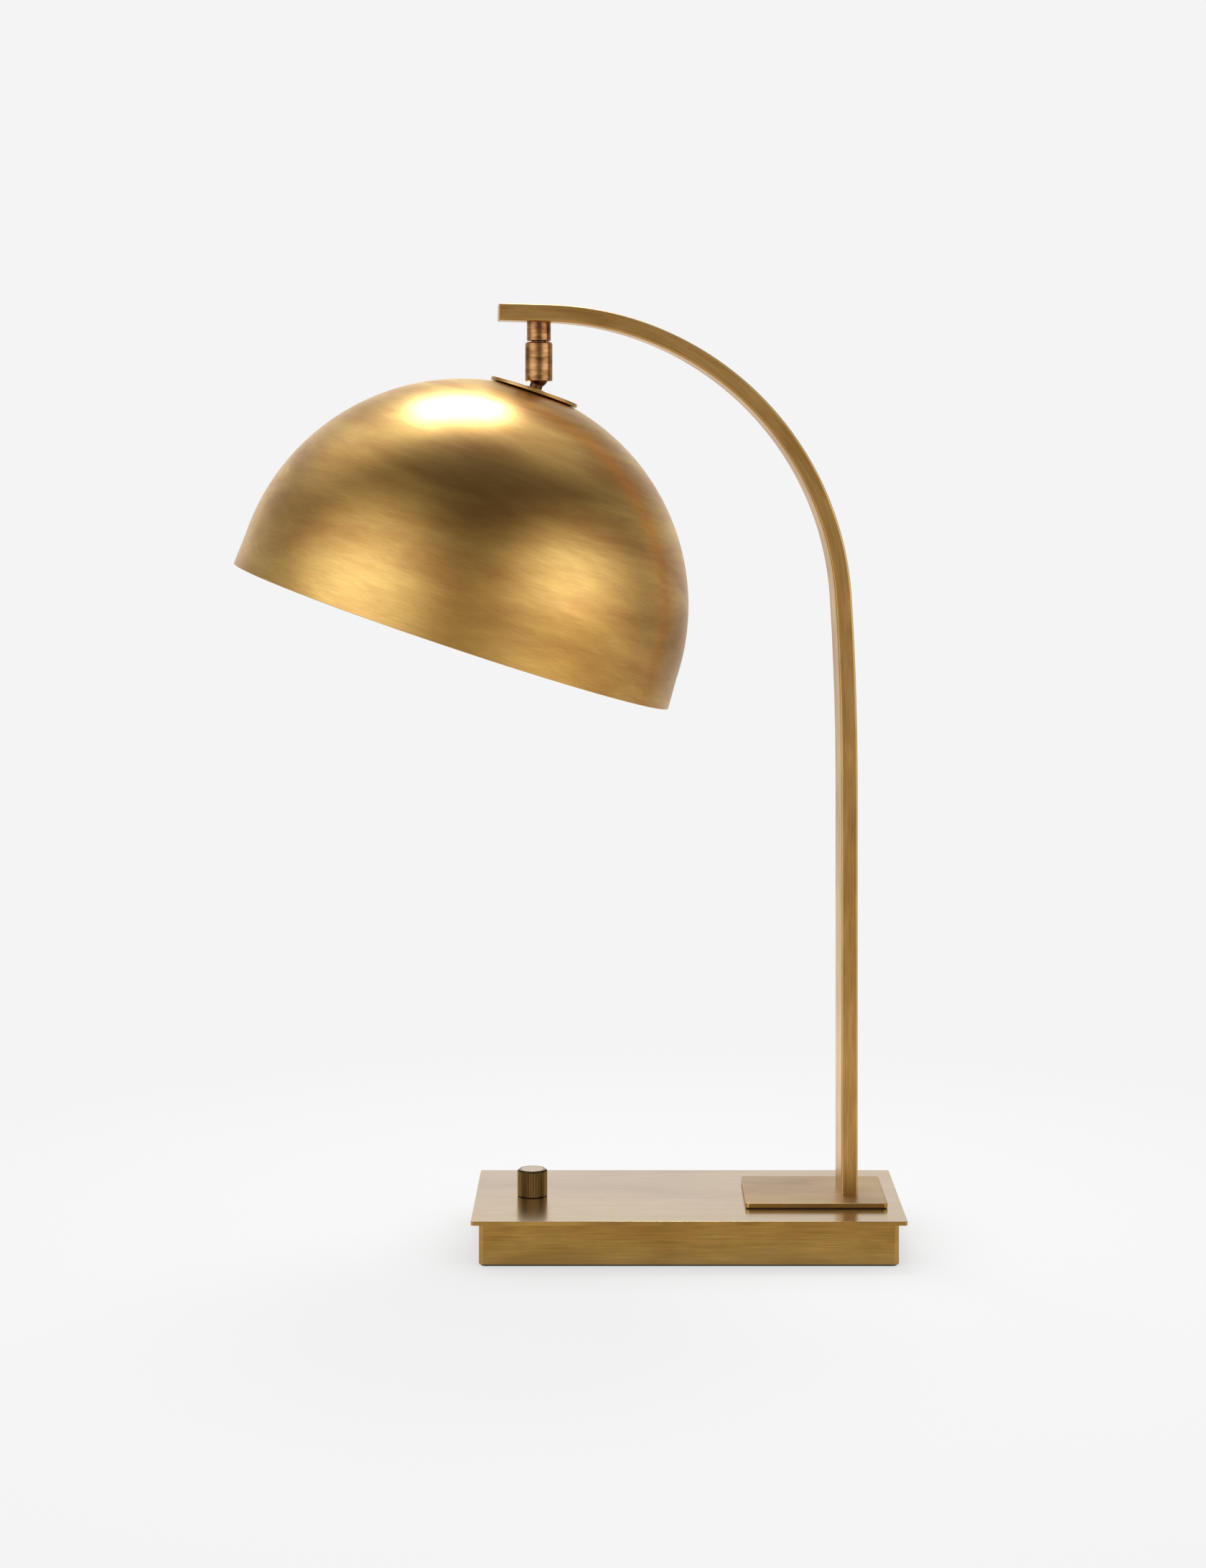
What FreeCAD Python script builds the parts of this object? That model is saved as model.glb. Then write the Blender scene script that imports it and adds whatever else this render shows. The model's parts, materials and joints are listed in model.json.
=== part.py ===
import FreeCAD, Part
import math
import os

# Desk lamp with a tilting dome shade on an arched rectangular arm.
# Millimetres, +Z up, +X to the right, +Y to the back.
# Origin: centre of the base's underside.

V = FreeCAD.Vector
ORIGIN = V(0, 0, 0)
UP = V(0, 0, 1)

# ---- driving dimensions -------------------------------------------------

# base
plate_length = 254.0          # ten inches
plate_depth = 127.0           # five inches
plate_thick = 2.5
plate_corner = 1.5
plate_edge = 0.3              # broken edge of the top plate
base_height = 27.3            # top of the top plate
plate_overhang = 4.5          # top plate beyond the housing
housing_wall = 1.2
housing_corner = 3.0
pad_thick = 1.0
pad_inset = 1.0
cover_thick = 1.6
cover_gap = 0.1               # bottom cover inside the housing walls

# ballast
ballast_dimmer_gap = 21.0     # ballast to the dimmer body
ballast_post_gap = 18.0       # ballast to the post axis
ballast_side_gap = 11.0       # ballast to the housing, front and back
ballast_thick = 17.0
channel_width = 9.0           # wire channel across the ballast
channel_floor = 4.0           # iron left under the channel

# screws of the base
cover_post_inset = 10.2       # cover post axis in from the housing's outside
cover_post_radius = 4.0
cover_screw_radius = 1.75
cover_screw_length = 12.0
ballast_screw_radius = 2.5
ballast_screw_length = 11.0
ballast_screw_inset = 22.0    # screw axis in from the ballast's corner
head_ratio = 1.9              # countersunk head radius over shank radius

# foot plate
foot_margin = 9.0             # foot plate to the end of the top plate
foot_length = 84.0
foot_depth = 68.0
foot_thick = 2.8
foot_corner = 2.5
foot_edge = 0.4
gasket_thick = 0.5
gasket_inset = 0.7

# arm: rectangular tube, its bend made of a slow lead-in and one main arc
arm_inset = 21.9              # post axis in from the foot plate's end
arm_turn = 4.5                # degrees, arm plane about the post axis
arm_thick = 10.0
arm_depth = 25.0
arm_wall = 1.6
arm_edge = 1.3                # rounded long edges
arm_top = 562.7               # top of the arm's free end
arm_reach = 209.5             # free end from the post axis
lead_in_radius = 1820.0
lead_in_turn = 3.6
bend_radius = 185.9           # outside of the main arc
end_slope = 1.5               # the end run still rises a little
plug_length = 6.0
block_height = 20.0
post_screw_radius = 2.0
post_screw_spacing = 14.0
post_screw_length = 24.0
pan_head_radius = 3.6
pan_head_height = 2.4
clamp_length = 20.0
clamp_depth = 30.0
clamp_thick = 2.0

# leads
lead_radius = 1.3
lead_gap = 0.3                # lead to the arm's inner wall
lead_hole = 2.0
lead_low = 11.0               # height of the lead in the wire channel
lead_bend = 11.0              # its bend under the post
lead_drop = 4.0               # its bend over the swivel nipple

# swivel
swivel_inset = 24.1           # swivel axis in from the arm's free end
collar_radius = 7.2
collar_height = 11.34
collar_chamfer = 0.9
nipple_radius = 4.0
nipple_bore = 2.4
nipple_head_radius = 5.6
nipple_head_thick = 1.2
nipple_drop = 7.5             # nipple below the barrel's top
washer_thick = 0.3
barrel_seam = 0.6             # collar to barrel
barrel_radius = 8.2
barrel_height = 23.4
barrel_chamfer = 1.0
barrel_bore = 6.9
running_gap = 0.06
free_gap = 0.3
plug_thick = 3.2
retaining_nut_flats = 10.0
retaining_nut_thick = 3.2
sleeve_inner = 6.15
disc_spring_thick = 0.5
disc_spring_rise = 0.5
seat_low_angle = 22.0         # the cup holds the ball from here, degrees up from level
seat_high_angle = 48.0
seat_height = 4.85
stop_pin_radius = 0.6
stop_pin_circle = 5.5
stop_pin_rise = 1.6           # pin above the barrel's top
swivel_limit = 130.0

# ball and stem
ball_rise = 1.9               # ball centre above the barrel's bottom
ball_radius = 5.5
stem_radius = 3.8
stem_bore = 2.0
stem_flare = 3.6
head_tilt = 18.7              # shade axis from the vertical, at rest
stem_clear = 3.0              # stem's end above the socket core
lock_ring_radius = 5.6
lock_ring_thick = 1.2
lock_ring_bevel = 0.35
disk_radius = 27.0
disk_thick = 2.0
disk_edge = 0.4
disk_drop = 7.75              # top of the disk below the ball's centre

# shade
dome_radius = 135.0
shade_wall = 1.0
crown_flat_radius = 22.0
skirt_height = 19.1           # rim plane to the dome's centre
rim_flare = 1.0

# parts under the crown
crown_washer_radius = 12.0
crown_washer_thick = 1.2
crown_nut_flats = 14.0
crown_nut_thick = 4.0
socket_gap = 0.5
socket_radius = 16.5
socket_wall = 1.0
socket_cap_height = 17.0
socket_shoulder = 4.5
socket_lap = 4.0              # shell inside the cap's mouth
socket_shell_height = 38.0
shell_wall = 0.8
shell_lip = 0.6               # rolled bead at the shell's mouth
core_height = 14.0
screw_shell_radius = 13.6
screw_shell_wall = 0.3
contact_radius = 3.0
contact_thick = 1.5
bulb_base_gap = 0.1
bulb_base_cone = 5.0
bulb_radius = 30.0
bulb_neck_radius = 12.6
bulb_length = 82.0            # glass beyond its base
bulb_wall = 0.8
bulb_waist = 50.0             # radius of the hollow curve between neck and globe

# knob and dimmer
knob_inset = 34.0             # knob axis in from the end of the top plate
knob_radius = 8.95
knob_ridges = 54
ridge_depth = 0.4
knob_gap = 0.45               # knob above the top plate
knob_height = 15.45
knob_bevel = 1.1
knob_groove_radius = 7.2      # fine groove round the flat top
knob_groove = 0.3             # its width and depth
knob_recess_radius = 7.0
shaft_radius = 3.0
shaft_rise = 12.7             # shaft above the top plate
shaft_drop = 12.3             # and below its upper face
grub_radius = 1.5
grub_length = 4.5
grub_rise = 9.7               # grub screw axis above the top plate
dimmer_length = 34.0
dimmer_depth = 34.0
dimmer_height = 16.0
dimmer_corner = 1.5
dimmer_well_depth = 10.8
bushing_radius = 3.6
bushing_rise = 4.5            # bushing above the top plate
dimmer_nut_flats = 11.0
dimmer_nut_thick = 1.9

# cord inlet and terminal block
inlet_z = 13.0
inlet_bore = 3.3
inlet_sleeve = 5.0
inlet_flange = 7.0
inlet_flange_thick = 1.8
inlet_lip = 5.7
inlet_lip_thick = 1.6
terminal_length = 26.0
terminal_depth = 16.0
terminal_height = 12.0
terminal_wall_gap = 15.0      # terminal block to the back of the housing

# ---- sizes worked out from them -----------------------------------------

housing_length = plate_length - 2 * plate_overhang
housing_depth = plate_depth - 2 * plate_overhang
foot_right = plate_length / 2 - foot_margin
foot_left = foot_right - foot_length
arm_x = foot_right - arm_inset
knob_x = knob_inset - plate_length / 2
inlet_x = knob_x
plate_bottom = base_height - plate_thick
cover_top = pad_thick + cover_thick
ballast_left = knob_x + dimmer_length / 2 + ballast_dimmer_gap
ballast_right = arm_x - ballast_post_gap
ballast_depth = housing_depth - 2 * ballast_side_gap
terminal_y = housing_depth / 2 - terminal_wall_gap - terminal_depth / 2
gasket_top = base_height + gasket_thick
foot_top = gasket_top + foot_thick
clamp_bottom = plate_bottom - clamp_thick

half_arm = arm_thick / 2
lead_in_center = lead_in_radius - half_arm
bend_center = bend_radius - half_arm
bend_turn = 90.0 - lead_in_turn - end_slope
inner_half = half_arm - arm_wall
lead_offset = inner_half - lead_radius - lead_gap

slope = math.radians(end_slope)
swivel_reach = arm_reach - swivel_inset
swivel_top = arm_top - swivel_inset * math.tan(slope) - arm_thick / math.cos(slope)
collar_bottom = swivel_top - collar_height
barrel_top = collar_bottom - barrel_seam
barrel_bottom = barrel_top - barrel_height
nipple_bottom = barrel_top - nipple_drop
ball_z = barrel_bottom + ball_rise
spacer_top = barrel_top - plug_thick
seat_radius = ball_radius + running_gap
seat_top = ball_z + seat_radius * math.sin(math.radians(seat_low_angle)) + seat_height
disc_spring_height = disc_spring_thick + disc_spring_rise

# heights in the head's frame, from the ball's centre
disk_top = -disk_drop
disk_bottom = disk_top - disk_thick
dome_center = disk_bottom - math.sqrt(dome_radius ** 2 - crown_flat_radius ** 2)
rim_z = dome_center - skirt_height
rim_radius = dome_radius + rim_flare
crown_under = disk_bottom - shade_wall
crown_nut_top = crown_under - crown_washer_thick
socket_top = crown_nut_top - crown_nut_thick - socket_gap
socket_cap_end = socket_top - socket_cap_height
shell_radius = socket_radius - socket_wall
shell_top = socket_cap_end + socket_lap
shell_end = shell_top - socket_shell_height
core_top = shell_top - socket_gap
core_radius = shell_radius - shell_wall
core_end = core_top - core_height
stem_end = core_top + stem_clear
contact_end = core_end - contact_thick
bulb_base_radius = screw_shell_radius - screw_shell_wall - bulb_base_gap
bulb_tip = shell_end - bulb_length

knob_bottom = base_height + knob_gap
knob_top = knob_bottom + knob_height
shaft_top = base_height + shaft_rise
shaft_bottom = base_height - shaft_drop
bushing_top = base_height + bushing_rise
knob_recess_top = bushing_top + socket_gap
grub_z = base_height + grub_rise
dimmer_well = plate_bottom - dimmer_well_depth


# ---- shape helpers ------------------------------------------------------

def save(node, shape):
    shape.exportStep("parts/" + node + ".step")


def box(x0, x1, y0, y1, z0, z1):
    return Part.makeBox(x1 - x0, y1 - y0, z1 - z0, V(x0, y0, z0))


def slab(length, depth, z0, z1, corner, x=0.0, y=0.0):
    """Upright block with rounded vertical corners."""
    body = box(x - length / 2, x + length / 2, y - depth / 2, y + depth / 2, z0, z1)
    uprights = [e for e in body.Edges if abs(e.tangentAt(e.FirstParameter).z) > 0.9]
    return body.makeFillet(corner, uprights)


def soften(body, size, height):
    """Fillet the flat outline that lies at one height."""
    rims = [e for e in body.Edges
            if abs(e.BoundBox.ZMin - height) < 1e-4 and abs(e.BoundBox.ZMax - height) < 1e-4]
    return body.makeFillet(size, rims)


def rod(radius, z0, z1, x=0.0, y=0.0):
    return Part.makeCylinder(radius, z1 - z0, V(x, y, z0))


def ring(outer, inner, z0, z1, x=0.0, y=0.0):
    return rod(outer, z0, z1, x, y).cut(rod(inner, z0, z1, x, y))


def hexagon(flats, z0, z1, hole, x=0.0, y=0.0):
    reach = flats / math.sqrt(3)
    corners = [V(x + reach * math.cos(k * math.pi / 3), y + reach * math.sin(k * math.pi / 3), z0)
               for k in range(7)]
    nut = Part.Face(Part.makePolygon(corners)).extrude(V(0, 0, z1 - z0))
    return nut.cut(rod(hole, z0, z1, x, y))


def turned(start, *steps):
    """Body of revolution about Z. A step is an end point (r, z), or the middle and the end of an arc."""
    edges = []
    first = V(start[0], 0, start[1])
    here = first
    for step in steps:
        if isinstance(step[0], tuple):
            middle, end = (V(r, 0, z) for r, z in step)
            edges.append(Part.Arc(here, middle, end).toShape())
        else:
            end = V(step[0], 0, step[1])
            edges.append(Part.LineSegment(here, end).toShape())
        here = end
    if here.distanceToPoint(first) > 1e-6:
        edges.append(Part.LineSegment(here, first).toShape())
    return Part.Face(Part.Wire(edges)).revolve(ORIGIN, UP, 360)


def on_circle(radius, center_z, degrees):
    """Point (r, z) on a circle centred on the axis, degrees up from level."""
    angle = math.radians(degrees)
    return (radius * math.cos(angle), center_z + radius * math.sin(angle))


def countersunk(radius, length, z0, x, y):
    """Countersunk screw standing head down on z0."""
    head = radius * head_ratio
    screw = turned((0, z0), (head, z0), (radius, z0 + head - radius), (radius, z0 + length), (0, z0 + length))
    screw.translate(V(x, y, 0))
    return screw


def in_arm_frame(body):
    """From the arm's own frame (post axis at 0, free end toward -X) to the lamp's."""
    placed = body.copy()
    placed.rotate(ORIGIN, UP, arm_turn)
    placed.translate(V(arm_x, 0, 0))
    return placed


def at_swivel(body):
    """From the swivel's own axis to the lamp's frame."""
    placed = body.copy()
    placed.translate(V(-swivel_reach, 0, 0))
    return in_arm_frame(placed)


def at_head(body):
    """From the head's own frame (ball centre at 0, shade axis along Z) to the lamp's."""
    placed = body.copy()
    placed.rotate(ORIGIN, V(0, 1, 0), head_tilt)
    placed.translate(V(0, 0, ball_z))
    return at_swivel(placed)


# ---- base ---------------------------------------------------------------

def housing():
    outside = slab(housing_length, housing_depth, pad_thick, plate_bottom, housing_corner)
    inside = slab(housing_length - 2 * housing_wall, housing_depth - 2 * housing_wall,
                  pad_thick, plate_bottom, housing_corner - housing_wall)
    hole = Part.makeCylinder(inlet_sleeve, 2 * housing_wall,
                             V(inlet_x, housing_depth / 2 - 1.5 * housing_wall, inlet_z), V(0, 1, 0))
    return outside.cut(inside).cut(hole)


def post_holes(z0, z1):
    """The two screw holes and the lead hole under the post, in the arm's frame."""
    cutters = [rod(post_screw_radius, z0, z1, 0, side * post_screw_spacing / 2) for side in (-1, 1)]
    cutters.append(rod(lead_hole, z0, z1, lead_offset, 0))
    return in_arm_frame(Part.makeCompound(cutters))


def top_plate():
    plate = slab(plate_length, plate_depth, plate_bottom, base_height, plate_corner)
    plate = soften(plate, plate_edge, base_height)
    plate = plate.cut(rod(bushing_radius, plate_bottom, base_height, knob_x, 0))
    return plate.cut(post_holes(plate_bottom, base_height))


def foot_slab(inset, z0, z1):
    return slab(foot_right - foot_left - 2 * inset, foot_depth - 2 * inset, z0, z1,
                foot_corner, (foot_left + foot_right) / 2)


def foot_plate():
    plate = soften(foot_slab(0, gasket_top, foot_top), foot_edge, foot_top)
    return plate.cut(post_holes(gasket_top, foot_top))


def foot_gasket():
    return foot_slab(gasket_inset, base_height, gasket_top).cut(post_holes(base_height, gasket_top))


def bottom_cover():
    inset = housing_wall + cover_gap
    cover = slab(housing_length - 2 * inset, housing_depth - 2 * inset, pad_thick, cover_top,
                 housing_corner - housing_wall)
    return cover.cut(cover_screws()).cut(ballast_screws())


def felt_pad():
    return slab(housing_length - 2 * pad_inset, housing_depth - 2 * pad_inset, 0, pad_thick, housing_corner)


def cover_spots():
    far = housing_length / 2 - cover_post_inset
    deep = housing_depth / 2 - cover_post_inset
    return [(sx * far, sy * deep) for sx in (-1, 1) for sy in (-1, 1)]


def cover_screws():
    return Part.makeCompound([countersunk(cover_screw_radius, cover_screw_length, pad_thick, x, y)
                              for x, y in cover_spots()])


def cover_posts():
    posts = Part.makeCompound([rod(cover_post_radius, cover_top, plate_bottom, x, y)
                               for x, y in cover_spots()])
    return posts.cut(cover_screws())


def ballast_screws():
    """Two screws near opposite corners of the ballast."""
    y = ballast_depth / 2 - ballast_screw_inset
    spots = ((ballast_left + ballast_screw_inset, y), (ballast_right - ballast_screw_inset, -y))
    return Part.makeCompound([countersunk(ballast_screw_radius, ballast_screw_length, pad_thick, x, y)
                              for x, y in spots])


def ballast_block():
    block = box(ballast_left, ballast_right, -ballast_depth / 2, ballast_depth / 2,
                cover_top, cover_top + ballast_thick)
    channel = box(-2 * arm_reach, 0, -channel_width / 2, channel_width / 2,
                  cover_top + channel_floor, cover_top + ballast_thick)
    return block.cut(in_arm_frame(channel)).cut(ballast_screws())


# ---- post and arm -------------------------------------------------------

def arm_sweep(thick, depth, corner, z0, reach):
    """Rectangular bar along the arm's centreline, from z0 on the post to the reach of its free end."""
    section = min(slab(thick, depth, 0, 1, corner).Faces, key=lambda f: f.CenterOfMass.z)
    here = V(0, 0, bend_start())
    post = section.extrude(V(0, 0, here.z - z0))
    post.translate(V(0, 0, z0))
    section.translate(here)
    runs = [post]
    turned_by = 0.0
    for radius, turn in ((lead_in_center, lead_in_turn), (bend_center, bend_turn)):
        heading = math.radians(turned_by)
        pivot = here + V(-math.cos(heading), 0, -math.sin(heading)) * radius
        runs.append(section.revolve(pivot, V(0, -1, 0), turn))
        section.rotate(pivot, V(0, -1, 0), turn)
        turned_by += turn
        heading = math.radians(turned_by)
        here = pivot + V(math.cos(heading), 0, math.sin(heading)) * radius
    heading = math.radians(turned_by)
    run = (reach + here.x) / math.sin(heading)
    runs.append(section.extrude(V(-math.sin(heading), 0, math.cos(heading)) * run))
    return post.fuse(runs[1:]).removeSplitter()


def bend_start():
    """Height where the post starts to bend, so that the free end comes to arm_top."""
    first = math.radians(lead_in_turn)
    last = math.radians(90.0 - end_slope)
    rise = lead_in_center * math.sin(first) + bend_center * (math.sin(last) - math.sin(first))
    across = lead_in_center * (1 - math.cos(first)) + bend_center * (math.cos(first) - math.cos(last))
    end_rise = (arm_reach - across) / math.tan(last)
    return arm_top - half_arm / math.sin(last) - rise - end_rise


def arm_outside():
    return arm_sweep(arm_thick, arm_depth, arm_edge, foot_top, arm_reach)


def arm_inside():
    return arm_sweep(2 * inner_half, arm_depth - 2 * arm_wall, arm_edge / 2, foot_top, arm_reach)


def arm_end_plug(inside):
    """Flush plug in the arm's open end."""
    return inside.common(box(-2 * arm_reach, plug_length - arm_reach, -arm_depth, arm_depth, 0, 2 * arm_top))


def post_block(inside):
    """Threaded block in the foot of the tube, with a slot for the lead."""
    top = foot_top + block_height
    block = inside.common(box(-arm_thick, arm_thick, -arm_depth, arm_depth, foot_top, top))
    slot = box(lead_offset - lead_hole, arm_thick, -lead_hole, lead_hole, foot_top, top)
    return block.cut(slot).cut(post_screws())


def post_screws():
    screws = []
    for side in (-1, 1):
        y = side * post_screw_spacing / 2
        head = rod(pan_head_radius, clamp_bottom - pan_head_height, clamp_bottom, 0, y)
        shank = rod(post_screw_radius, clamp_bottom, clamp_bottom + post_screw_length, 0, y)
        screws.append(head.fuse(shank))
    return Part.makeCompound(screws)


def clamp_plate():
    plate = slab(clamp_length, clamp_depth, clamp_bottom, plate_bottom, foot_corner, arm_x)
    return plate.cut(post_holes(clamp_bottom, plate_bottom))


def lead_path():
    """Centreline of the lead: out of the dimmer, up the post, round the arm and down the nipple."""
    edges = []
    dimmer_end = (knob_x + dimmer_length / 2 - arm_x) / math.cos(math.radians(arm_turn)) + lead_gap
    here = V(dimmer_end, 0, lead_low)

    def line(end):
        edges.append(Part.LineSegment(here, end).toShape())
        return end

    def arc(pivot, radius, start, turn):
        """Arc in the arm's plane; angles in degrees up from +X, turning as the lead goes."""
        spots = [V(pivot.x + radius * math.cos(math.radians(start + part * turn)), 0,
                   pivot.z + radius * math.sin(math.radians(start + part * turn)))
                 for part in (0, 0.5, 1)]
        edges.append(Part.Arc(*spots).toShape())
        return spots[2]

    here = line(V(lead_offset - lead_bend, 0, lead_low))
    here = arc(V(here.x, 0, lead_low + lead_bend), lead_bend, -90, 90)
    here = line(V(lead_offset, 0, bend_start()))
    turned_by = 0.0
    for center, turn in ((lead_in_center, lead_in_turn), (bend_center, bend_turn)):
        radius = center + lead_offset
        angle = math.radians(turned_by)
        pivot = here - V(math.cos(angle), 0, math.sin(angle)) * radius
        here = arc(pivot, radius, turned_by, turn)
        turned_by += turn
    drop = 90.0 + end_slope
    run_end = V(-swivel_reach + lead_drop * math.sin(math.radians(drop)), 0, 0)
    run_end.z = here.z + (here.x - run_end.x) * math.tan(math.radians(end_slope))
    here = line(run_end)
    pivot = here - V(math.cos(math.radians(turned_by)), 0, math.sin(math.radians(turned_by))) * lead_drop
    here = arc(pivot, lead_drop, turned_by, drop)
    line(V(here.x, 0, nipple_bottom - lead_gap))
    return edges


def arm_lead():
    edges = lead_path()
    start = edges[0].valueAt(edges[0].FirstParameter)
    circle = Part.Wire([Part.makeCircle(lead_radius, start, V(1, 0, 0))])
    lead = Part.Wire(edges).makePipeShell([circle], True, False)
    expected = math.pi * lead_radius ** 2 * sum(e.Length for e in edges)
    print("arm lead volume over section x length: %.4f" % (lead.Volume / expected))
    return lead


# ---- swivel -------------------------------------------------------------

def swivel_collar(arm):
    """Collar under the arm, cut to the arm's slope, with an arc slot for the stop pin."""
    top = arm_top
    collar = turned((nipple_radius, collar_bottom), (collar_radius - collar_chamfer, collar_bottom),
                    (collar_radius, collar_bottom + collar_chamfer), (collar_radius, top),
                    (nipple_radius, top))
    slot_half = stop_pin_radius + free_gap
    slot_turn = 2 * (swivel_limit + math.degrees(slot_half / stop_pin_circle))
    slot_top = barrel_top + stop_pin_rise + free_gap
    section = Part.Face(Part.makePolygon([
        V(stop_pin_circle - slot_half, 0, collar_bottom), V(stop_pin_circle + slot_half, 0, collar_bottom),
        V(stop_pin_circle + slot_half, 0, slot_top), V(stop_pin_circle - slot_half, 0, slot_top),
        V(stop_pin_circle - slot_half, 0, collar_bottom)]))
    slot = section.revolve(ORIGIN, UP, slot_turn)
    slot.rotate(ORIGIN, UP, -slot_turn / 2)
    collar = at_swivel(collar.cut(slot)).cut(arm)
    return min(collar.Solids, key=lambda s: s.CenterOfMass.z)


def arm_nipple(tube):
    """Hollow nipple hung by its head inside the arm."""
    floor = swivel_top + arm_wall / math.cos(slope)
    head = rod(nipple_head_radius, floor - arm_wall / 2, floor + nipple_head_thick)
    head = at_swivel(head).cut(tube)
    head = max(head.Solids, key=lambda s: s.CenterOfMass.z)
    shank = at_swivel(rod(nipple_radius, nipple_bottom, floor))
    bore = at_swivel(rod(nipple_bore, nipple_bottom, floor + 2 * nipple_head_thick))
    return head.fuse(shank).cut(bore).removeSplitter()


def friction_washer():
    slot_inner = stop_pin_circle - stop_pin_radius - free_gap
    return ring(slot_inner, nipple_radius, collar_bottom - washer_thick, collar_bottom)


def retaining_nut():
    top = spacer_top - free_gap
    return hexagon(retaining_nut_flats, top - retaining_nut_thick, top, nipple_radius)


def swivel_barrel():
    """Barrel with a spherical lip that holds the ball."""
    seat = seat_radius
    low = barrel_bottom - ball_z
    mouth = math.sqrt(seat ** 2 - low ** 2)
    lip_angle = math.degrees(math.asin(low / seat))
    top_angle = 14.0
    lip_round = 0.5
    return turned((mouth, barrel_bottom), (barrel_radius - lip_round, barrel_bottom),
                  (barrel_radius, barrel_bottom + lip_round), (barrel_radius, barrel_top - barrel_chamfer),
                  (barrel_radius - barrel_chamfer, barrel_top), (barrel_bore, barrel_top),
                  (barrel_bore, on_circle(seat, ball_z, top_angle)[1]), on_circle(seat, ball_z, top_angle),
                  (on_circle(seat, ball_z, (lip_angle + top_angle) / 2), (mouth, barrel_bottom)))


def barrel_plug():
    plug = ring(barrel_bore, nipple_radius + running_gap, spacer_top, barrel_top)
    return plug.cut(stop_pin())


def stop_pin():
    return rod(stop_pin_radius, barrel_top - plug_thick / 2, barrel_top + stop_pin_rise, stop_pin_circle, 0)


def spacer_sleeve():
    return ring(barrel_bore, sleeve_inner, seat_top + disc_spring_height, spacer_top)


def disc_spring():
    inner = nipple_radius + disc_spring_rise
    return turned((inner, seat_top + disc_spring_rise), (barrel_bore, seat_top),
                  (barrel_bore, seat_top + disc_spring_thick),
                  (sleeve_inner, seat_top + disc_spring_height), (inner, seat_top + disc_spring_height))


def ball_seat():
    """Ring cup that presses on the ball from above."""
    low = on_circle(seat_radius, ball_z, seat_low_angle)
    middle = on_circle(seat_radius, ball_z, (seat_low_angle + seat_high_angle) / 2)
    high = on_circle(seat_radius, ball_z, seat_high_angle)
    return turned(low, (barrel_bore, low[1]), (barrel_bore, seat_top), (high[0], seat_top), high,
                  (middle, low))


# ---- head, in its own frame ---------------------------------------------

def ball_stem():
    """Hollow ball, neck and threaded stem in one piece."""
    neck_angle = math.degrees(math.asin(-math.sqrt(ball_radius ** 2 - stem_radius ** 2) / ball_radius))
    flare_z = math.sqrt(ball_radius ** 2 - stem_flare ** 2)
    flare_angle = math.degrees(math.asin(flare_z / ball_radius))
    flare_depth = 2 * (stem_flare - stem_bore)
    return turned((stem_bore, stem_end), (stem_radius, stem_end), on_circle(ball_radius, 0, neck_angle),
                  ((ball_radius, 0), on_circle(ball_radius, 0, flare_angle)),
                  (stem_bore, flare_z - flare_depth))


def lock_ring():
    top = disk_top + lock_ring_thick
    edge = lock_ring_radius - lock_ring_bevel
    return turned((stem_radius, disk_top), (lock_ring_radius, disk_top),
                  (lock_ring_radius, top - lock_ring_bevel), (edge, top), (stem_radius, top))


def cap_disk():
    inner = disk_radius - disk_edge
    return turned((stem_radius, disk_bottom), (inner, disk_bottom), (disk_radius, disk_bottom + disk_edge),
                  (disk_radius, disk_top - disk_edge), (inner, disk_top), (stem_radius, disk_top))


def dome_shade():
    """Spun dome with a flat crown and a slightly flared skirt."""
    inner_radius = dome_radius - shade_wall
    outer_crown = math.degrees(math.asin((disk_bottom - dome_center) / dome_radius))
    inner_crown = math.degrees(math.asin((crown_under - dome_center) / inner_radius))
    return turned((stem_radius, crown_under), on_circle(inner_radius, dome_center, inner_crown),
                  (on_circle(inner_radius, dome_center, inner_crown / 2), (inner_radius, dome_center)),
                  (rim_radius - shade_wall, rim_z), (rim_radius, rim_z), (dome_radius, dome_center),
                  (on_circle(dome_radius, dome_center, outer_crown / 2),
                   on_circle(dome_radius, dome_center, outer_crown)),
                  (stem_radius, disk_bottom))


def crown_washer():
    return ring(crown_washer_radius, stem_radius, crown_nut_top, crown_under)


def crown_nut():
    return hexagon(crown_nut_flats, crown_nut_top - crown_nut_thick, crown_nut_top, stem_radius)


def head_lead():
    return rod(lead_radius, core_top, stem_flare - stem_bore)


def socket_cap():
    shoulder = socket_shoulder
    inner = socket_radius - socket_wall
    return turned((stem_radius, socket_top), (socket_radius - shoulder, socket_top),
                  (socket_radius, socket_top - shoulder), (socket_radius, socket_cap_end),
                  (inner, socket_cap_end), (inner, socket_top - shoulder),
                  (inner - shoulder + socket_wall, socket_top - socket_wall),
                  (stem_radius, socket_top - socket_wall))


def socket_shell():
    inner = shell_radius - shell_wall
    lip = shell_radius + shell_lip
    return turned((inner, shell_top), (shell_radius, shell_top), (shell_radius, shell_end + 2 * shell_lip),
                  (lip, shell_end + shell_lip), (lip, shell_end), (inner, shell_end))


def socket_core():
    return rod(core_radius, core_end, core_top)


def socket_liner():
    return ring(core_radius, screw_shell_radius, shell_end + shell_wall, core_end)


def screw_shell():
    inner = screw_shell_radius - screw_shell_wall
    return ring(screw_shell_radius, inner, shell_end + 2 * shell_wall, core_end)


def centre_contact():
    return rod(contact_radius, contact_end, core_end)


def bulb_base():
    return turned((0, contact_end), (contact_radius, contact_end),
                  (bulb_base_radius, contact_end - bulb_base_cone), (bulb_base_radius, shell_end),
                  (0, shell_end))


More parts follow.
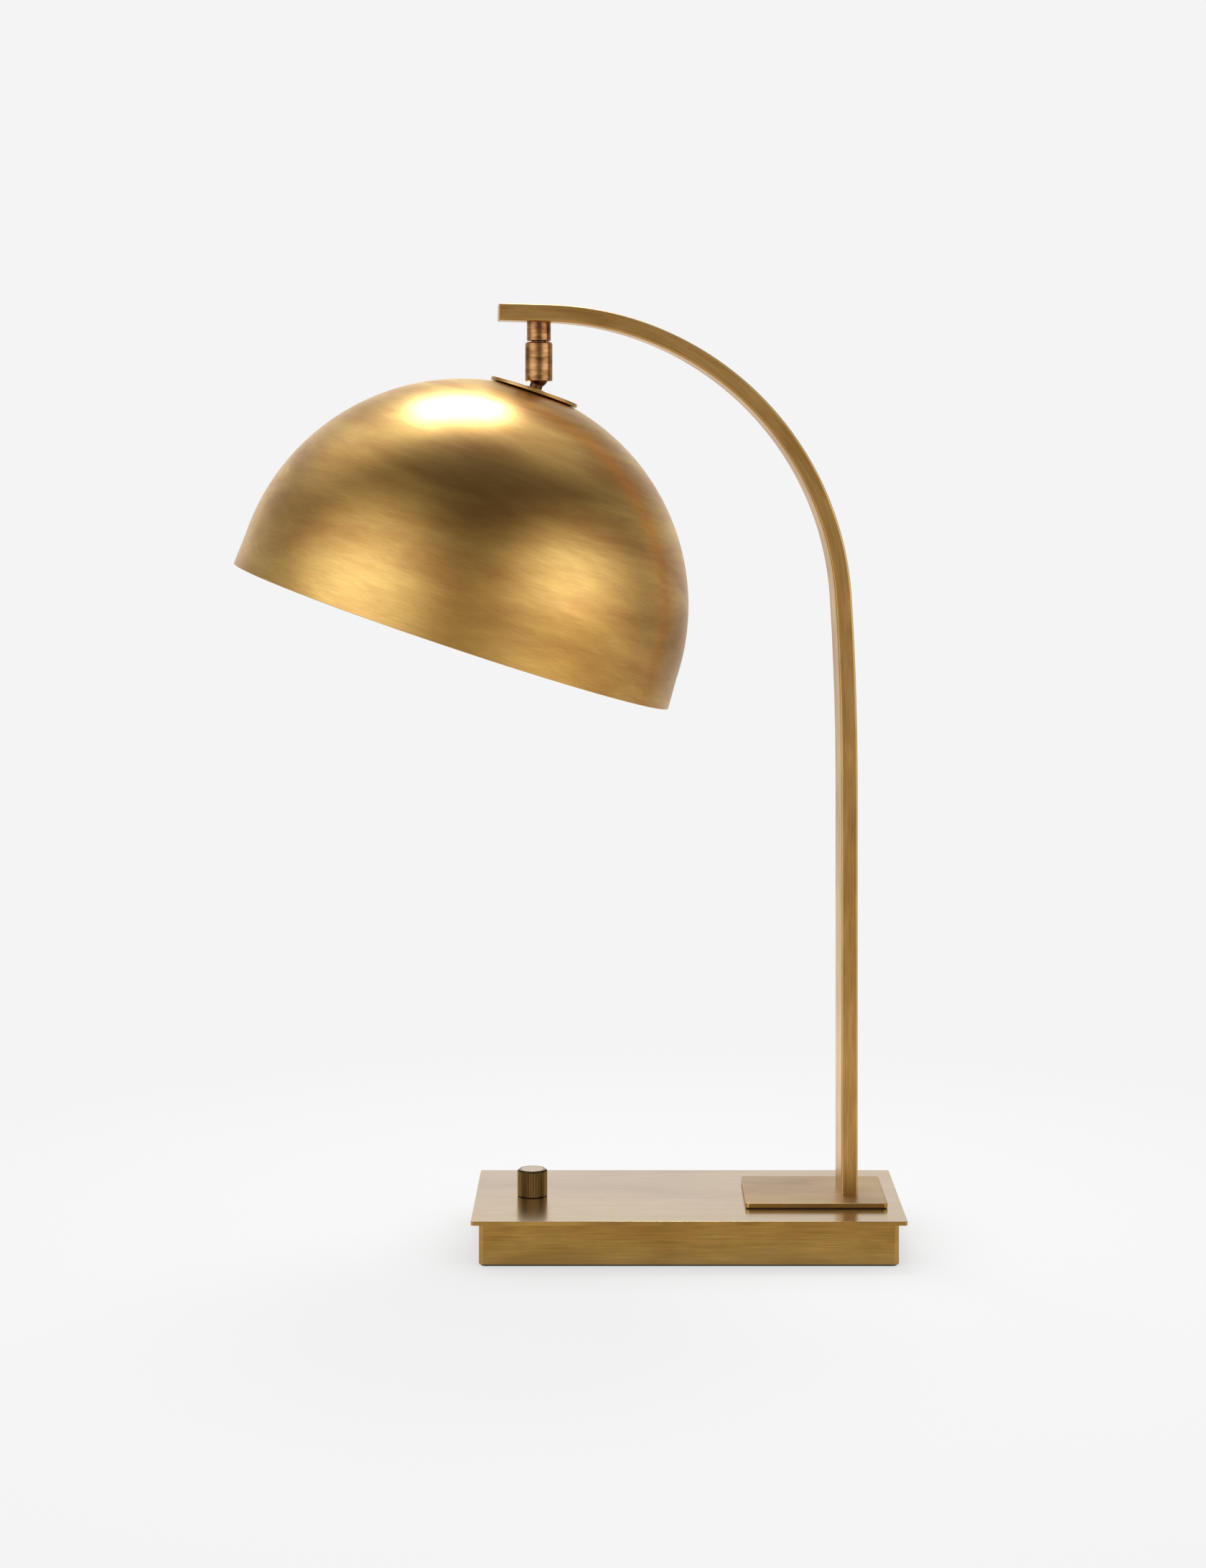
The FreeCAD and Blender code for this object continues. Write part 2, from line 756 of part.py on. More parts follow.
def bulb_outline(inset):
    """Globe centre, and the tangent point of globe and hollow waist, for a glass wall set in by inset."""
    globe = bulb_radius - inset
    neck = bulb_neck_radius - inset
    waist = bulb_waist + inset
    center = bulb_tip + bulb_radius
    across = neck + waist
    rise = math.sqrt((globe + waist) ** 2 - across ** 2)
    touch = (across * globe / (globe + waist), center + rise * globe / (globe + waist))
    waist_start = center + rise
    return globe, neck, waist, center, touch, waist_start


def bulb_wall_steps(inset):
    """Steps from the neck down to the tip along one side of the glass."""
    globe, neck, waist, center, touch, waist_start = bulb_outline(inset)
    turn = math.asin((waist_start - touch[1]) / waist)
    middle = (neck + waist - waist * math.cos(turn / 2), waist_start - waist * math.sin(turn / 2))
    touch_angle = math.degrees(math.asin((touch[1] - center) / globe))
    globe_middle = on_circle(globe, center, (touch_angle - 90) / 2)
    return (neck, waist_start), middle, touch, globe_middle, (0, center - globe)


def bulb_glass():
    start, waist_mid, touch, globe_mid, tip = bulb_wall_steps(0)
    in_start, in_waist_mid, in_touch, in_globe_mid, in_tip = bulb_wall_steps(bulb_wall)
    return turned((in_start[0], shell_end), (start[0], shell_end), start, (waist_mid, touch), (globe_mid, tip),
                  in_tip, (in_globe_mid, in_touch), (in_waist_mid, in_start))


# ---- knob and dimmer ----------------------------------------------------

def dimmer_knob():
    """Knob with straight upright reeding."""
    points = []
    for k in range(2 * knob_ridges + 1):
        radius = knob_radius if k % 2 == 0 else knob_radius - ridge_depth
        angle = math.pi * k / knob_ridges
        points.append(V(radius * math.cos(angle), radius * math.sin(angle), knob_bottom))
    reeded = Part.Face(Part.makePolygon(points)).extrude(V(0, 0, knob_top - knob_bottom))
    wide = knob_radius + ridge_depth
    groove = knob_groove_radius - knob_groove
    envelope = turned((0, knob_bottom), (wide, knob_bottom), (wide, knob_top - knob_bevel - ridge_depth),
                      (knob_radius - knob_bevel, knob_top), (knob_groove_radius, knob_top),
                      (knob_groove_radius, knob_top - knob_groove), (groove, knob_top - knob_groove),
                      (groove, knob_top), (0, knob_top))
    knob = reeded.common(envelope)
    knob = knob.cut(rod(knob_recess_radius, knob_bottom, knob_recess_top))
    knob = knob.cut(rod(shaft_radius, knob_recess_top, shaft_top)).cut(grub_hole())
    knob.translate(V(knob_x, 0, 0))
    return knob


def grub_hole():
    return Part.makeCylinder(grub_radius, knob_radius, V(0, 0, grub_z), V(0, 1, 0))


def knob_grub():
    return Part.makeCylinder(grub_radius, grub_length, V(knob_x, shaft_radius, grub_z), V(0, 1, 0))


def dimmer_shaft():
    return rod(shaft_radius, shaft_bottom, shaft_top, knob_x, 0)


def dimmer_body():
    bottom = plate_bottom - dimmer_height
    body = slab(dimmer_length, dimmer_depth, bottom, plate_bottom, dimmer_corner, knob_x)
    return body.cut(rod(bushing_radius, dimmer_well, plate_bottom, knob_x, 0))


def dimmer_bushing():
    return ring(bushing_radius, shaft_radius + running_gap, plate_bottom, bushing_top, knob_x, 0)


def dimmer_nut():
    return hexagon(dimmer_nut_flats, base_height, base_height + dimmer_nut_thick, bushing_radius, knob_x, 0)


def terminal_block():
    return box(inlet_x - terminal_length / 2, inlet_x + terminal_length / 2, terminal_y - terminal_depth / 2,
               terminal_y + terminal_depth / 2, cover_top, cover_top + terminal_height)


def link_lead():
    front = dimmer_depth / 2
    return Part.makeCylinder(lead_radius, terminal_y - terminal_depth / 2 - front,
                             V(inlet_x, front, lead_low), V(0, 1, 0))


def cord_bushing():
    """Flanged bushing in the back wall, held by a snap lip inside."""
    outer_face = housing_depth / 2
    inner_face = outer_face - housing_wall
    bushing = turned((inlet_bore, inner_face - inlet_lip_thick), (inlet_sleeve, inner_face - inlet_lip_thick),
                     (inlet_lip, inner_face), (inlet_sleeve, inner_face), (inlet_sleeve, outer_face),
                     (inlet_flange, outer_face), (inlet_flange, outer_face + inlet_flange_thick / 2),
                     (inlet_flange - inlet_flange_thick / 2, outer_face + inlet_flange_thick),
                     (inlet_bore, outer_face + inlet_flange_thick))
    bushing.rotate(ORIGIN, V(1, 0, 0), -90)
    bushing.translate(V(inlet_x, 0, inlet_z))
    return bushing


# ---- write the nodes ----------------------------------------------------

def write_base():
    save("base_housing", housing())
    save("top_plate", top_plate())
    save("bottom_cover", bottom_cover())
    save("felt_pad", felt_pad())
    save("cover_posts", cover_posts())
    save("cover_screws", cover_screws())
    save("ballast_block", ballast_block())
    save("ballast_screws", ballast_screws())
    save("foot_plate", foot_plate())
    save("foot_gasket", foot_gasket())
    save("clamp_plate", clamp_plate())
    save("cord_bushing", cord_bushing())
    save("terminal_block", terminal_block())
    save("link_lead", link_lead())
    save("dimmer_body", dimmer_body())
    save("dimmer_bushing", dimmer_bushing())
    save("dimmer_nut", dimmer_nut())


def write_arm():
    outside = arm_outside()
    inside = arm_inside()
    nipple_hole = at_swivel(rod(nipple_radius, collar_bottom, swivel_top + arm_thick / 2))
    tube = in_arm_frame(outside.cut(inside)).cut(nipple_hole)
    save("arm_tube", tube)
    save("arm_end_plug", in_arm_frame(arm_end_plug(inside)))
    save("post_block", in_arm_frame(post_block(inside)))
    save("post_screws", in_arm_frame(post_screws()))
    save("arm_lead", in_arm_frame(arm_lead()))
    save("swivel_collar", swivel_collar(in_arm_frame(outside)))
    save("arm_nipple", arm_nipple(tube))
    save("friction_washer", at_swivel(friction_washer()))
    save("retaining_nut", at_swivel(retaining_nut()))


def write_swivel():
    save("swivel_barrel", at_swivel(swivel_barrel()))
    save("barrel_plug", at_swivel(barrel_plug()))
    save("stop_pin", at_swivel(stop_pin()))
    save("spacer_sleeve", at_swivel(spacer_sleeve()))
    save("disc_spring", at_swivel(disc_spring()))
    save("ball_seat", at_swivel(ball_seat()))


def write_head():
    for make in (ball_stem, lock_ring, cap_disk, dome_shade, crown_washer, crown_nut, head_lead, socket_cap,
                 socket_shell, socket_core, socket_liner, screw_shell, centre_contact, bulb_base, bulb_glass):
        save(make.__name__, at_head(make()))


def write_knob():
    save("dimmer_knob", dimmer_knob())
    save("knob_grub", knob_grub())
    save("dimmer_shaft", dimmer_shaft())


os.makedirs("parts", exist_ok=True)
write_base()
write_arm()
write_swivel()
write_head()
write_knob()
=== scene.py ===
import json
import math
import bmesh
import bpy
from mathutils import Matrix, Vector


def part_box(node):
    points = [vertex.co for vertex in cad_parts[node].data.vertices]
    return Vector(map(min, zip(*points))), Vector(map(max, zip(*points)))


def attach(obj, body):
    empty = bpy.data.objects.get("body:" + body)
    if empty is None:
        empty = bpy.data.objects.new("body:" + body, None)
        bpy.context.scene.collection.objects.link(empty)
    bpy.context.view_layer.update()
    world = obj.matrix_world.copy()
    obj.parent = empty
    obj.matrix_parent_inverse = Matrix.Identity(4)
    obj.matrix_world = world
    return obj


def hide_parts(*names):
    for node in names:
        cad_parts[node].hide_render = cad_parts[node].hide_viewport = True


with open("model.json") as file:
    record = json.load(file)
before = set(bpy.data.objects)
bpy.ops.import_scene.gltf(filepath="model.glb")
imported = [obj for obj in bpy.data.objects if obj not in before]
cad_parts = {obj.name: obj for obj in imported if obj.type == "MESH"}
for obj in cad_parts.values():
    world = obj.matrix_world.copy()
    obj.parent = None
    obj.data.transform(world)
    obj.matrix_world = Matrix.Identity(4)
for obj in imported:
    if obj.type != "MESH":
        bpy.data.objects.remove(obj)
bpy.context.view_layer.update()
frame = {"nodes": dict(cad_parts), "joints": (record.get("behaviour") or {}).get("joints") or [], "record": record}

# Desk lamp with a tilting dome shade on an arched arm. Metres, +Z up, the camera looks along +Y.

MM = 0.001
JOINTS = {joint["name"]: joint for joint in frame["joints"]}

# ---- frames of the three axes ----
BALL = Vector(JOINTS["shade_tilt"]["pos_m"])
TILT_AXIS = Vector(JOINTS["shade_tilt"]["axis"])
KNOB_AXIS = Vector(JOINTS["dimmer_turn"]["pos_m"])
ARM_TURN = math.atan2(-TILT_AXIS.x, TILT_AXIS.y)
HEAD_TILT = math.radians(18.7)
POST = sum(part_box("post_block"), Vector()) / 2
SWIVEL_FRAME = Matrix.Translation((BALL.x, BALL.y, 0)) @ Matrix.Rotation(ARM_TURN, 4, "Z")
HEAD_FRAME = (Matrix.Translation(BALL) @ Matrix.Rotation(ARM_TURN, 4, "Z")
              @ Matrix.Rotation(HEAD_TILT, 4, "Y"))
ARM_FRAME = Matrix.Translation((POST.x, POST.y, 0)) @ Matrix.Rotation(ARM_TURN, 4, "Z")

# ---- base ----
SHEET = 1.2 * MM
BOX_CORNER = 3.0 * MM
TOP_CORNER = 1.5 * MM
FOOT_CORNER = 2.5 * MM
SHIM_CORNER = 2.0 * MM
PAD_CORNER = 3.0 * MM
PLATE_EDGE = 0.3 * MM
FOOT_EDGE = 0.4 * MM
SHIM_EDGE = 0.05 * MM
INLET_HOLE = 5.0 * MM

# ---- arm ----
ARM_THICK = 10.0 * MM
ARM_DEPTH = 25.0 * MM
ARM_WALL = 1.6 * MM
ARM_EDGE = 1.3 * MM
ARM_END_EDGE = 0.3 * MM
ARM_REACH = 209.5 * MM
LEAD_IN_RADIUS = 1815.0 * MM      # to the middle of the tube
LEAD_IN_TURN = math.radians(3.6)
BEND_RADIUS = 180.9 * MM
END_SLOPE = math.radians(1.5)
ARM_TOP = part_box("arm_tube")[1].z
PLUG_LENGTH = 6.0 * MM

# ---- swivel ----
NIPPLE_RADIUS = 4.0 * MM
COLLAR_CHAMFER = 0.9 * MM
BARREL_CHAMFER = 1.0 * MM
BARREL_BORE = 6.9 * MM
BALL_RADIUS = 5.5 * MM
BALL_FIT = 0.06 * MM

# ---- head, heights from the ball's centre along the shade's axis ----
STEM_RADIUS = 3.8 * MM
STEM_BORE = 2.0 * MM
STEM_FLARE = 3.6 * MM             # mouth of the lead's funnel in the top of the ball
STEM_FUNNEL = 3.2 * MM
LOCK_RING_RADIUS = 5.6 * MM
LOCK_RING_THICK = 1.2 * MM
DISK_RADIUS = 27.0 * MM
DISK_TOP = -7.75 * MM
DISK_BOTTOM = -9.75 * MM
DOME_RADIUS = 135.0 * MM
DOME_WALL = 1.0 * MM
CROWN_FLAT = 22.0 * MM
DOME_CENTRE = DISK_BOTTOM - math.sqrt(DOME_RADIUS ** 2 - CROWN_FLAT ** 2)
RIM_Z = DOME_CENTRE - 19.1 * MM
RIM_RADIUS = DOME_RADIUS + 1.0 * MM
SOCKET_RADIUS = 16.5 * MM
SOCKET_TOP = -16.45 * MM
SOCKET_CAP_END = -33.45 * MM
SHELL_RADIUS = 15.5 * MM
SHELL_TOP = -29.45 * MM
SHELL_END = -67.45 * MM
STEM_END = -26.95 * MM
BULB_RADIUS = 30.0 * MM
BULB_NECK = 12.6 * MM
BULB_TIP = SHELL_END - 82.0 * MM
BULB_WAIST = 50.0 * MM

# ---- knob ----
KNOB_RIDGES = 54
RIDGE_DEPTH = 0.4 * MM
KNOB_BEVEL = 1.1 * MM
KNOB_RECESS = 7.0 * MM

# ---- camera: solved from the photograph, 1680 x 2184 pixels ----
FRAME_WIDTH = 1680
FRAME_HEIGHT = 2184
FOCAL_PIXELS = 4200.0
SENSOR = 36.0
CAMERA_PLACE = (-0.0384, -1.815, 0.4705)
AXIS_PIXEL = (868.0, 638.8)       # where the level lens axis meets the picture

# ---- stage ----
PAPER = (0.905, 0.905, 0.905, 1.0)      # the background's white, for all but glossy rays
AMBIENT = (1.0, 0.86, 0.64, 1.0)        # the warm dim room that the metal mirrors
BEHIND = (1.0, 0.98, 0.96, 1.0)         # its tint behind the object
BRIGHT = (1.0, 0.97, 0.93, 1.0)         # its tint where it is bright

# soft patches in the mirrored room: direction, the distances on the unit sphere where each is full and
# gone, its level and, where it isn't round, its height
BACK_GLOW = ((-0.1, 1.0, 0.06), 0.15, 0.8, 0.5)
LEFT_GLOW = ((-0.72, -0.60, 0.24), 0.1, 0.9, 1.08)
RIGHT_GLOW = ((0.84, -0.52, 0.12), 0.1, 0.82, 1.08, 0.85)
LEFT_SPILL = ((-0.42, 0.42, 0.80), 0.1, 0.6, 0.8)
RIGHT_SPILL = ((0.36, 0.36, 0.86), 0.1, 0.5, 0.6)


# ======== meshes ========

def rounded(corners, steps=5):
    """Closed outline (x, y, worn) with each corner that carries a third number rounded to that radius."""
    outline = []
    for k, corner in enumerate(corners):
        here = Vector(corner[:2])
        radius = corner[2] if len(corner) > 2 else 0.0
        if not radius:
            outline.append((here.x, here.y, 0.0))
            continue
        before = (Vector(corners[k - 1][:2]) - here).normalized()
        after = (Vector(corners[(k + 1) % len(corners)][:2]) - here).normalized()
        half = before.angle(after) / 2
        centre = here + (before + after).normalized() * radius / math.sin(half)
        reach = radius / math.tan(half)
        start = here + before * reach - centre
        end = here + after * reach - centre
        turn = math.atan2(start.x * end.y - start.y * end.x, start.dot(end))
        for n in range(steps + 1):
            spoke = Matrix.Rotation(turn * n / steps, 2) @ start
            outline.append((centre.x + spoke.x, centre.y + spoke.y, 1.0 if 0 < n < steps else 0.0))
    return outline


def arc(radius, centre, start, end, steps):
    """Points (r, z) on a circle centred on the axis, from start to end degrees up from level."""
    angles = [math.radians(start + (end - start) * n / steps) for n in range(steps + 1)]
    return [(radius * math.cos(a), centre + radius * math.sin(a)) for a in angles]


def bridge(bm, low, high):
    """Faces between two rings, either of which may be a single pole."""
    count = max(len(low), len(high))
    if count == 1:
        return
    for k in range(count):
        following = (k + 1) % count
        if len(low) == 1:
            bm.faces.new((low[0], high[following], high[k]))
        elif len(high) == 1:
            bm.faces.new((low[k], low[following], high[0]))
        else:
            bm.faces.new((low[k], low[following], high[following], high[k]))


def loft(name, rings, place=Matrix(), closed=False, crease=32.0):
    """Skin over rings of (point, lay, worn). lay is two coordinates along the brushing and one across."""
    bm = bmesh.new()
    lay = bm.verts.layers.float_vector.new("lay")
    worn = bm.verts.layers.float.new("worn")
    made = []
    for ring in rings:
        verts = []
        for point, along, rub in ring:
            vert = bm.verts.new(place @ Vector(point))
            vert[lay] = along
            vert[worn] = rub
            verts.append(vert)
        made.append(verts)
    following = made[1:] + made[:1] if closed else made[1:]
    for low, high in zip(made, following):
        bridge(bm, low, high)
    if not closed:
        for end in (made[0], made[-1]):
            if len(end) > 2:
                bm.faces.new(end)
    bmesh.ops.recalc_face_normals(bm, faces=bm.faces)
    mesh = bpy.data.meshes.new(name)
    bm.to_mesh(mesh)
    bm.free()
    return smoothed(name, mesh, crease)


def linked(name, mesh):
    piece = bpy.data.objects.new(name, mesh)
    bpy.context.scene.collection.objects.link(piece)
    return piece


def settled(piece):
    """The piece with its modifiers turned into plain mesh."""
    bpy.context.view_layer.update()
    seen = piece.evaluated_get(bpy.context.evaluated_depsgraph_get())
    mesh = bpy.data.meshes.new_from_object(seen)
    mesh.name = piece.name
    piece.modifiers.clear()
    piece.data = mesh
    return piece


def smoothed(name, mesh, crease):
    """Smooth shading with flats kept flat beside their rounded edges."""
    mesh.shade_smooth()
    mesh.set_sharp_from_angle(angle=math.radians(crease))
    piece = linked(name, mesh)
    weighted = piece.modifiers.new("flats", "WEIGHTED_NORMAL")
    weighted.keep_sharp = True
    return settled(piece)


def cut(piece, cutter):
    """Takes the cutter's shape out of the piece."""
    hole = piece.modifiers.new("hole", "BOOLEAN")
    hole.object = cutter
    hole.solver = "EXACT"
    settled(piece)
    bpy.data.objects.remove(cutter)
    return piece


def lathe(name, outline, place=Matrix(), steps=192, crease=32.0):
    """Body of revolution about Z from a closed outline (r, z) or (r, z, worn)."""
    turns = [2 * math.pi * k / steps for k in range(steps)]
    rings = []
    for r, z, *rub in outline:
        spots = turns if r > 1e-7 else turns[:1]
        rings.append([((r * math.cos(t), r * math.sin(t), z), (r * math.cos(t), r * math.sin(t), r - z),
                       sum(rub)) for t in spots])
    return loft(name, rings, place, closed=True, crease=crease)


def rectangle(width, depth, corner):
    """Rounded rectangle (x, y, worn) about the origin."""
    x, y = width / 2, depth / 2
    return rounded([(-x, -y, corner), (x, -y, corner), (x, y, corner), (-x, y, corner)])


def levels(low, high, edge, steps=4):
    """Heights and insets of a plate whose upper and lower outlines are rounded by edge."""
    rows = [(low + edge * (1 - math.cos(math.pi / 2 * n / steps)),
             edge * (1 - math.sin(math.pi / 2 * n / steps))) for n in range(steps + 1)]
    return rows + [(high + low - z, inset) for z, inset in reversed(rows)]


def plate(name, corners, corner, edge, lay):
    """Flat block that fills a node's box, with rounded corners and edges."""
    corner_rub = 0.7
    low, high = corners
    centre = (low + high) / 2
    size = high - low
    rings = []
    for z, inset in levels(low.z, high.z, edge):
        outline = rectangle(size.x - 2 * inset, size.y - 2 * inset, max(corner - inset, edge / 4))
        rings.append([((centre.x + x, centre.y + y, z), lay(centre.x + x, centre.y + y, z),
                       max(worn * corner_rub, 1.0 if 0 < inset < edge else 0.0)) for x, y, worn in outline])
    return loft(name, rings)


def sheen_painted_on_flats(piece, top, side):
    """One finish on a plate's flats, another on its upright edges: a painted sheen, with the flats paler and
    coated and the edges a darker olive.
    """
    piece.data.materials.append(top)
    piece.data.materials.append(side)
    for face in piece.data.polygons:
        if abs(face.normal.z) < 0.5:
            face.material_index = 1
    return piece


def along_x(x, y, z):
    """Brushed lengthwise on a flat."""
    return (x, z, y)


def level_lines(x, y, z):
    """Brushed level round upright sides."""
    return (x, y, z)


# ======== material building ========

def add(tree, kind, inputs=None, **settings):
    """A node with its settings, and its inputs set or wired."""
    made = tree.nodes.new(kind)
    for name, value in settings.items():
        setattr(made, name, value)
    for socket, value in (inputs or {}).items():
        if isinstance(value, bpy.types.NodeSocket):
            tree.links.new(value, made.inputs[socket])
        else:
            made.inputs[socket].default_value = value
    return made


def calc(tree, operation, *values):
    return add(tree, "ShaderNodeMath", dict(enumerate(values)), operation=operation).outputs[0]


def remap(tree, value, low, high, to_low=0.0, to_high=1.0):
    ports = {"Value": value, "From Min": low, "From Max": high, "To Min": to_low, "To Max": to_high}
    return add(tree, "ShaderNodeMapRange", ports, clamp=True).outputs[0]


def mixed(tree, amount, first, second, how="MIX"):
    return add(tree, "ShaderNodeMix", {0: amount, 6: first, 7: second}, data_type="RGBA",
               blend_type=how).outputs[2]


def scaled(tree, vector, *sizes):
    """A vector divided by one size, or by one size for each axis."""
    x, y, z = (sizes * 3)[:3]
    shares = add(tree, "ShaderNodeCombineXYZ", {0: x, 1: y, 2: z}).outputs[0]
    return add(tree, "ShaderNodeVectorMath", {0: vector, 1: shares}, operation="DIVIDE").outputs[0]


def noise(tree, vector, detail=2.0, roughness=0.5, distortion=0.0):
    ports = {"Vector": vector, "Scale": 1.0, "Detail": detail, "Roughness": roughness,
             "Distortion": distortion}
    return add(tree, "ShaderNodeTexNoise", ports).outputs[0]


def effect(name, inputs, outputs):
    """An empty shader group with named sockets."""
    tree = bpy.data.node_groups.new(name, "ShaderNodeTree")
    for label, value in inputs.items():
        kind = "NodeSocketVector" if value is None else "NodeSocketFloat"
        socket = tree.interface.new_socket(label, in_out="INPUT", socket_type=kind)
        if value is not None:
            socket.default_value = value
    for label in outputs:
        tree.interface.new_socket(label, in_out="OUTPUT", socket_type="NodeSocketFloat")
    return tree, add(tree, "NodeGroupInput").outputs, add(tree, "NodeGroupOutput").inputs


def brushing_effect():
    """Fine lines along the lay, and the broader streaks that a brushing wheel leaves."""
    tree, given, put = effect("Brushing", {"Lay": None, "Length": 0.012, "Width": 0.0004, "Waver": 0.001},
                              ("Height", "Fine", "Streak"))
    parts = add(tree, "ShaderNodeSeparateXYZ", {0: given["Lay"]}).outputs
    sway = noise(tree, scaled(tree, given["Lay"], 0.02), detail=1.0)
    sway = calc(tree, "MULTIPLY", calc(tree, "SUBTRACT", sway, 0.5), given["Waver"])
    across = calc(tree, "ADD", parts[2], sway)
    lay = add(tree, "ShaderNodeCombineXYZ", {0: parts[0], 1: parts[1], 2: across}).outputs[0]
    fine = noise(tree, scaled(tree, lay, given["Length"], given["Length"], given["Width"]), detail=2.0)
    long = calc(tree, "MULTIPLY", given["Length"], 5.0)
    wide = calc(tree, "MULTIPLY", given["Width"], 5.0)
    broad = noise(tree, scaled(tree, lay, long, long, wide), detail=3.0, roughness=0.6)
    both = calc(tree, "ADD", calc(tree, "MULTIPLY", fine, 0.6), calc(tree, "MULTIPLY", broad, 0.4))
    tree.links.new(both, put["Height"])
    tree.links.new(remap(tree, fine, 0.3, 0.7), put["Fine"])
    tree.links.new(remap(tree, broad, 0.34, 0.66), put["Streak"])
    return tree


def patina_effect():
    """Slow clouds of tone, a finer mottle, and scattered dark specks."""
    tree, given, put = effect("Patina", {"Position": None, "Size": 0.04, "Stretch": 1.0},
                              ("Clouds", "Mottle", "Specks"))
    narrow = calc(tree, "DIVIDE", given["Size"], given["Stretch"])
    clouds = noise(tree, scaled(tree, given["Position"], given["Size"], given["Size"], narrow), detail=3.0,
                   roughness=0.55, distortion=0.4)
    small = calc(tree, "MULTIPLY", given["Size"], 0.2)
    thin = calc(tree, "MULTIPLY", narrow, 0.2)
    mottle = noise(tree, scaled(tree, given["Position"], small, small, thin), detail=4.0, roughness=0.65,
                   distortion=0.3)
    specks = noise(tree, scaled(tree, given["Position"], 0.0011), detail=0.0)
    tree.links.new(remap(tree, clouds, 0.34, 0.66), put["Clouds"])
    tree.links.new(remap(tree, mottle, 0.36, 0.64), put["Mottle"])
    tree.links.new(remap(tree, specks, 0.87, 0.93), put["Specks"])
    return tree


def scratch_effect():
    """Short separate scratches along the lay."""
    tree, given, put = effect("Scratches", {"Lay": None, "Length": 0.006, "Width": 0.0003}, ("Scratch",))
    lay = scaled(tree, given["Lay"], given["Length"], given["Length"], given["Width"])
    lines = noise(tree, lay, detail=1.0, roughness=0.4, distortion=0.15)
    tree.links.new(remap(tree, lines, 0.64, 0.72), put["Scratch"])
    return tree


def grain_effect():
    """Even fine grain of a cast, moulded, woven or painted surface."""
    tree, given, put = effect("Grain", {"Position": None, "Size": 0.001}, ("Height", "Patches"))
    fine = noise(tree, scaled(tree, given["Position"], given["Size"]), detail=3.0, roughness=0.6)
    large = calc(tree, "MULTIPLY", given["Size"], 14.0)
    patches = noise(tree, scaled(tree, given["Position"], large), detail=2.0)
    tree.links.new(fine, put["Height"])
    tree.links.new(remap(tree, patches, 0.35, 0.65), put["Patches"])
    return tree


BRUSHING = brushing_effect()
PATINA = patina_effect()
SCRATCHES = scratch_effect()
GRAIN = grain_effect()


def placed_effect(tree, group, **ports):
    """An effect in a material, with its sockets set by name."""
    made = add(tree, "ShaderNodeGroup")
    made.node_tree = group
    for name, value in ports.items():
        if isinstance(value, bpy.types.NodeSocket):
            tree.links.new(value, made.inputs[name])
        else:
            made.inputs[name].default_value = value
    return made.outputs


def blank(name):
    """A new material's tree with its plain surface shader."""
    material = bpy.data.materials.new(name)
    material.use_nodes = True
    tree = material.node_tree
    tree.nodes.clear()
    shader = add(tree, "ShaderNodeBsdfPrincipled")
    add(tree, "ShaderNodeOutputMaterial", {"Surface": shader.outputs[0]})
    return material, tree, shader


def rgb(red, green, blue):
    """A colour written in 0 to 255 screen values, as the renderer's own."""
    shares = [value / 255 for value in (red, green, blue)]
    return tuple(s / 12.92 if s <= 0.04045 else ((s + 0.055) / 1.055) ** 2.4 for s in shares) + (1.0,)


def brass(name, pale, deep, warm, rough, length, width, waver, cloud, relief=3e-6, streaks=0.3, edge=0.5,
          coat=0.0, rubbed=(0.93, 0.72, 0.33, 1.0)):
    """Brushed antique brass: tones drift in clouds, lines follow the lay, edges are rubbed bright.

    length and width are those of one brushed line, waver how far it strays, cloud the size of a cloud of
    tone and relief the depth of the lines. streaks and edge are shares of deep and rubbed tone.
    """
    cloud_stretch = 3.0
    gloss_spread = 0.02
    edge_roughness = 0.12
    material, tree, shader = blank(name)
    lay = add(tree, "ShaderNodeAttribute", attribute_name="lay").outputs["Vector"]
    worn = add(tree, "ShaderNodeAttribute", attribute_name="worn").outputs["Fac"]
    lines = placed_effect(tree, BRUSHING, Lay=lay, Length=length, Width=width, Waver=waver)
    age = placed_effect(tree, PATINA, Position=lay, Size=cloud, Stretch=cloud_stretch)
    scratch = placed_effect(tree, SCRATCHES, Lay=lay, Length=length / 2, Width=width)["Scratch"]
    tone = mixed(tree, age["Clouds"], deep, pale)
    tone = mixed(tree, calc(tree, "MULTIPLY", age["Mottle"], 0.25), tone, warm)
    tone = mixed(tree, calc(tree, "MULTIPLY", lines["Streak"], streaks), tone, deep)
    shade = remap(tree, lines["Fine"], 0.0, 1.0, 1.0 - streaks, 1.0)
    grey = add(tree, "ShaderNodeCombineColor", {0: shade, 1: shade, 2: shade}).outputs[0]
    tone = mixed(tree, 1.0, tone, grey, "MULTIPLY")
    tone = mixed(tree, calc(tree, "MULTIPLY", scratch, 0.2), tone, pale)
    tone = mixed(tree, remap(tree, worn, 0.3, 1.0, 0.0, edge), tone, rubbed)
    gloss = calc(tree, "ADD", calc(tree, "MULTIPLY", age["Mottle"], gloss_spread),
                 calc(tree, "MULTIPLY", lines["Streak"], gloss_spread))
    gloss = calc(tree, "ADD", gloss, calc(tree, "MULTIPLY", worn, edge_roughness))
    gloss = calc(tree, "ADD", gloss, rough - gloss_spread)
    bump = add(tree, "ShaderNodeBump", {"Height": lines["Height"], "Distance": relief, "Strength": 1.0})
    shader.inputs["Metallic"].default_value = 1.0
    shader.inputs["Coat Weight"].default_value = coat
    shader.inputs["Coat Roughness"].default_value = 0.12
    tree.links.new(tone, shader.inputs["Base Color"])
    tree.links.new(gloss, shader.inputs["Roughness"])
    tree.links.new(bump.outputs[0], shader.inputs["Normal"])
    return material


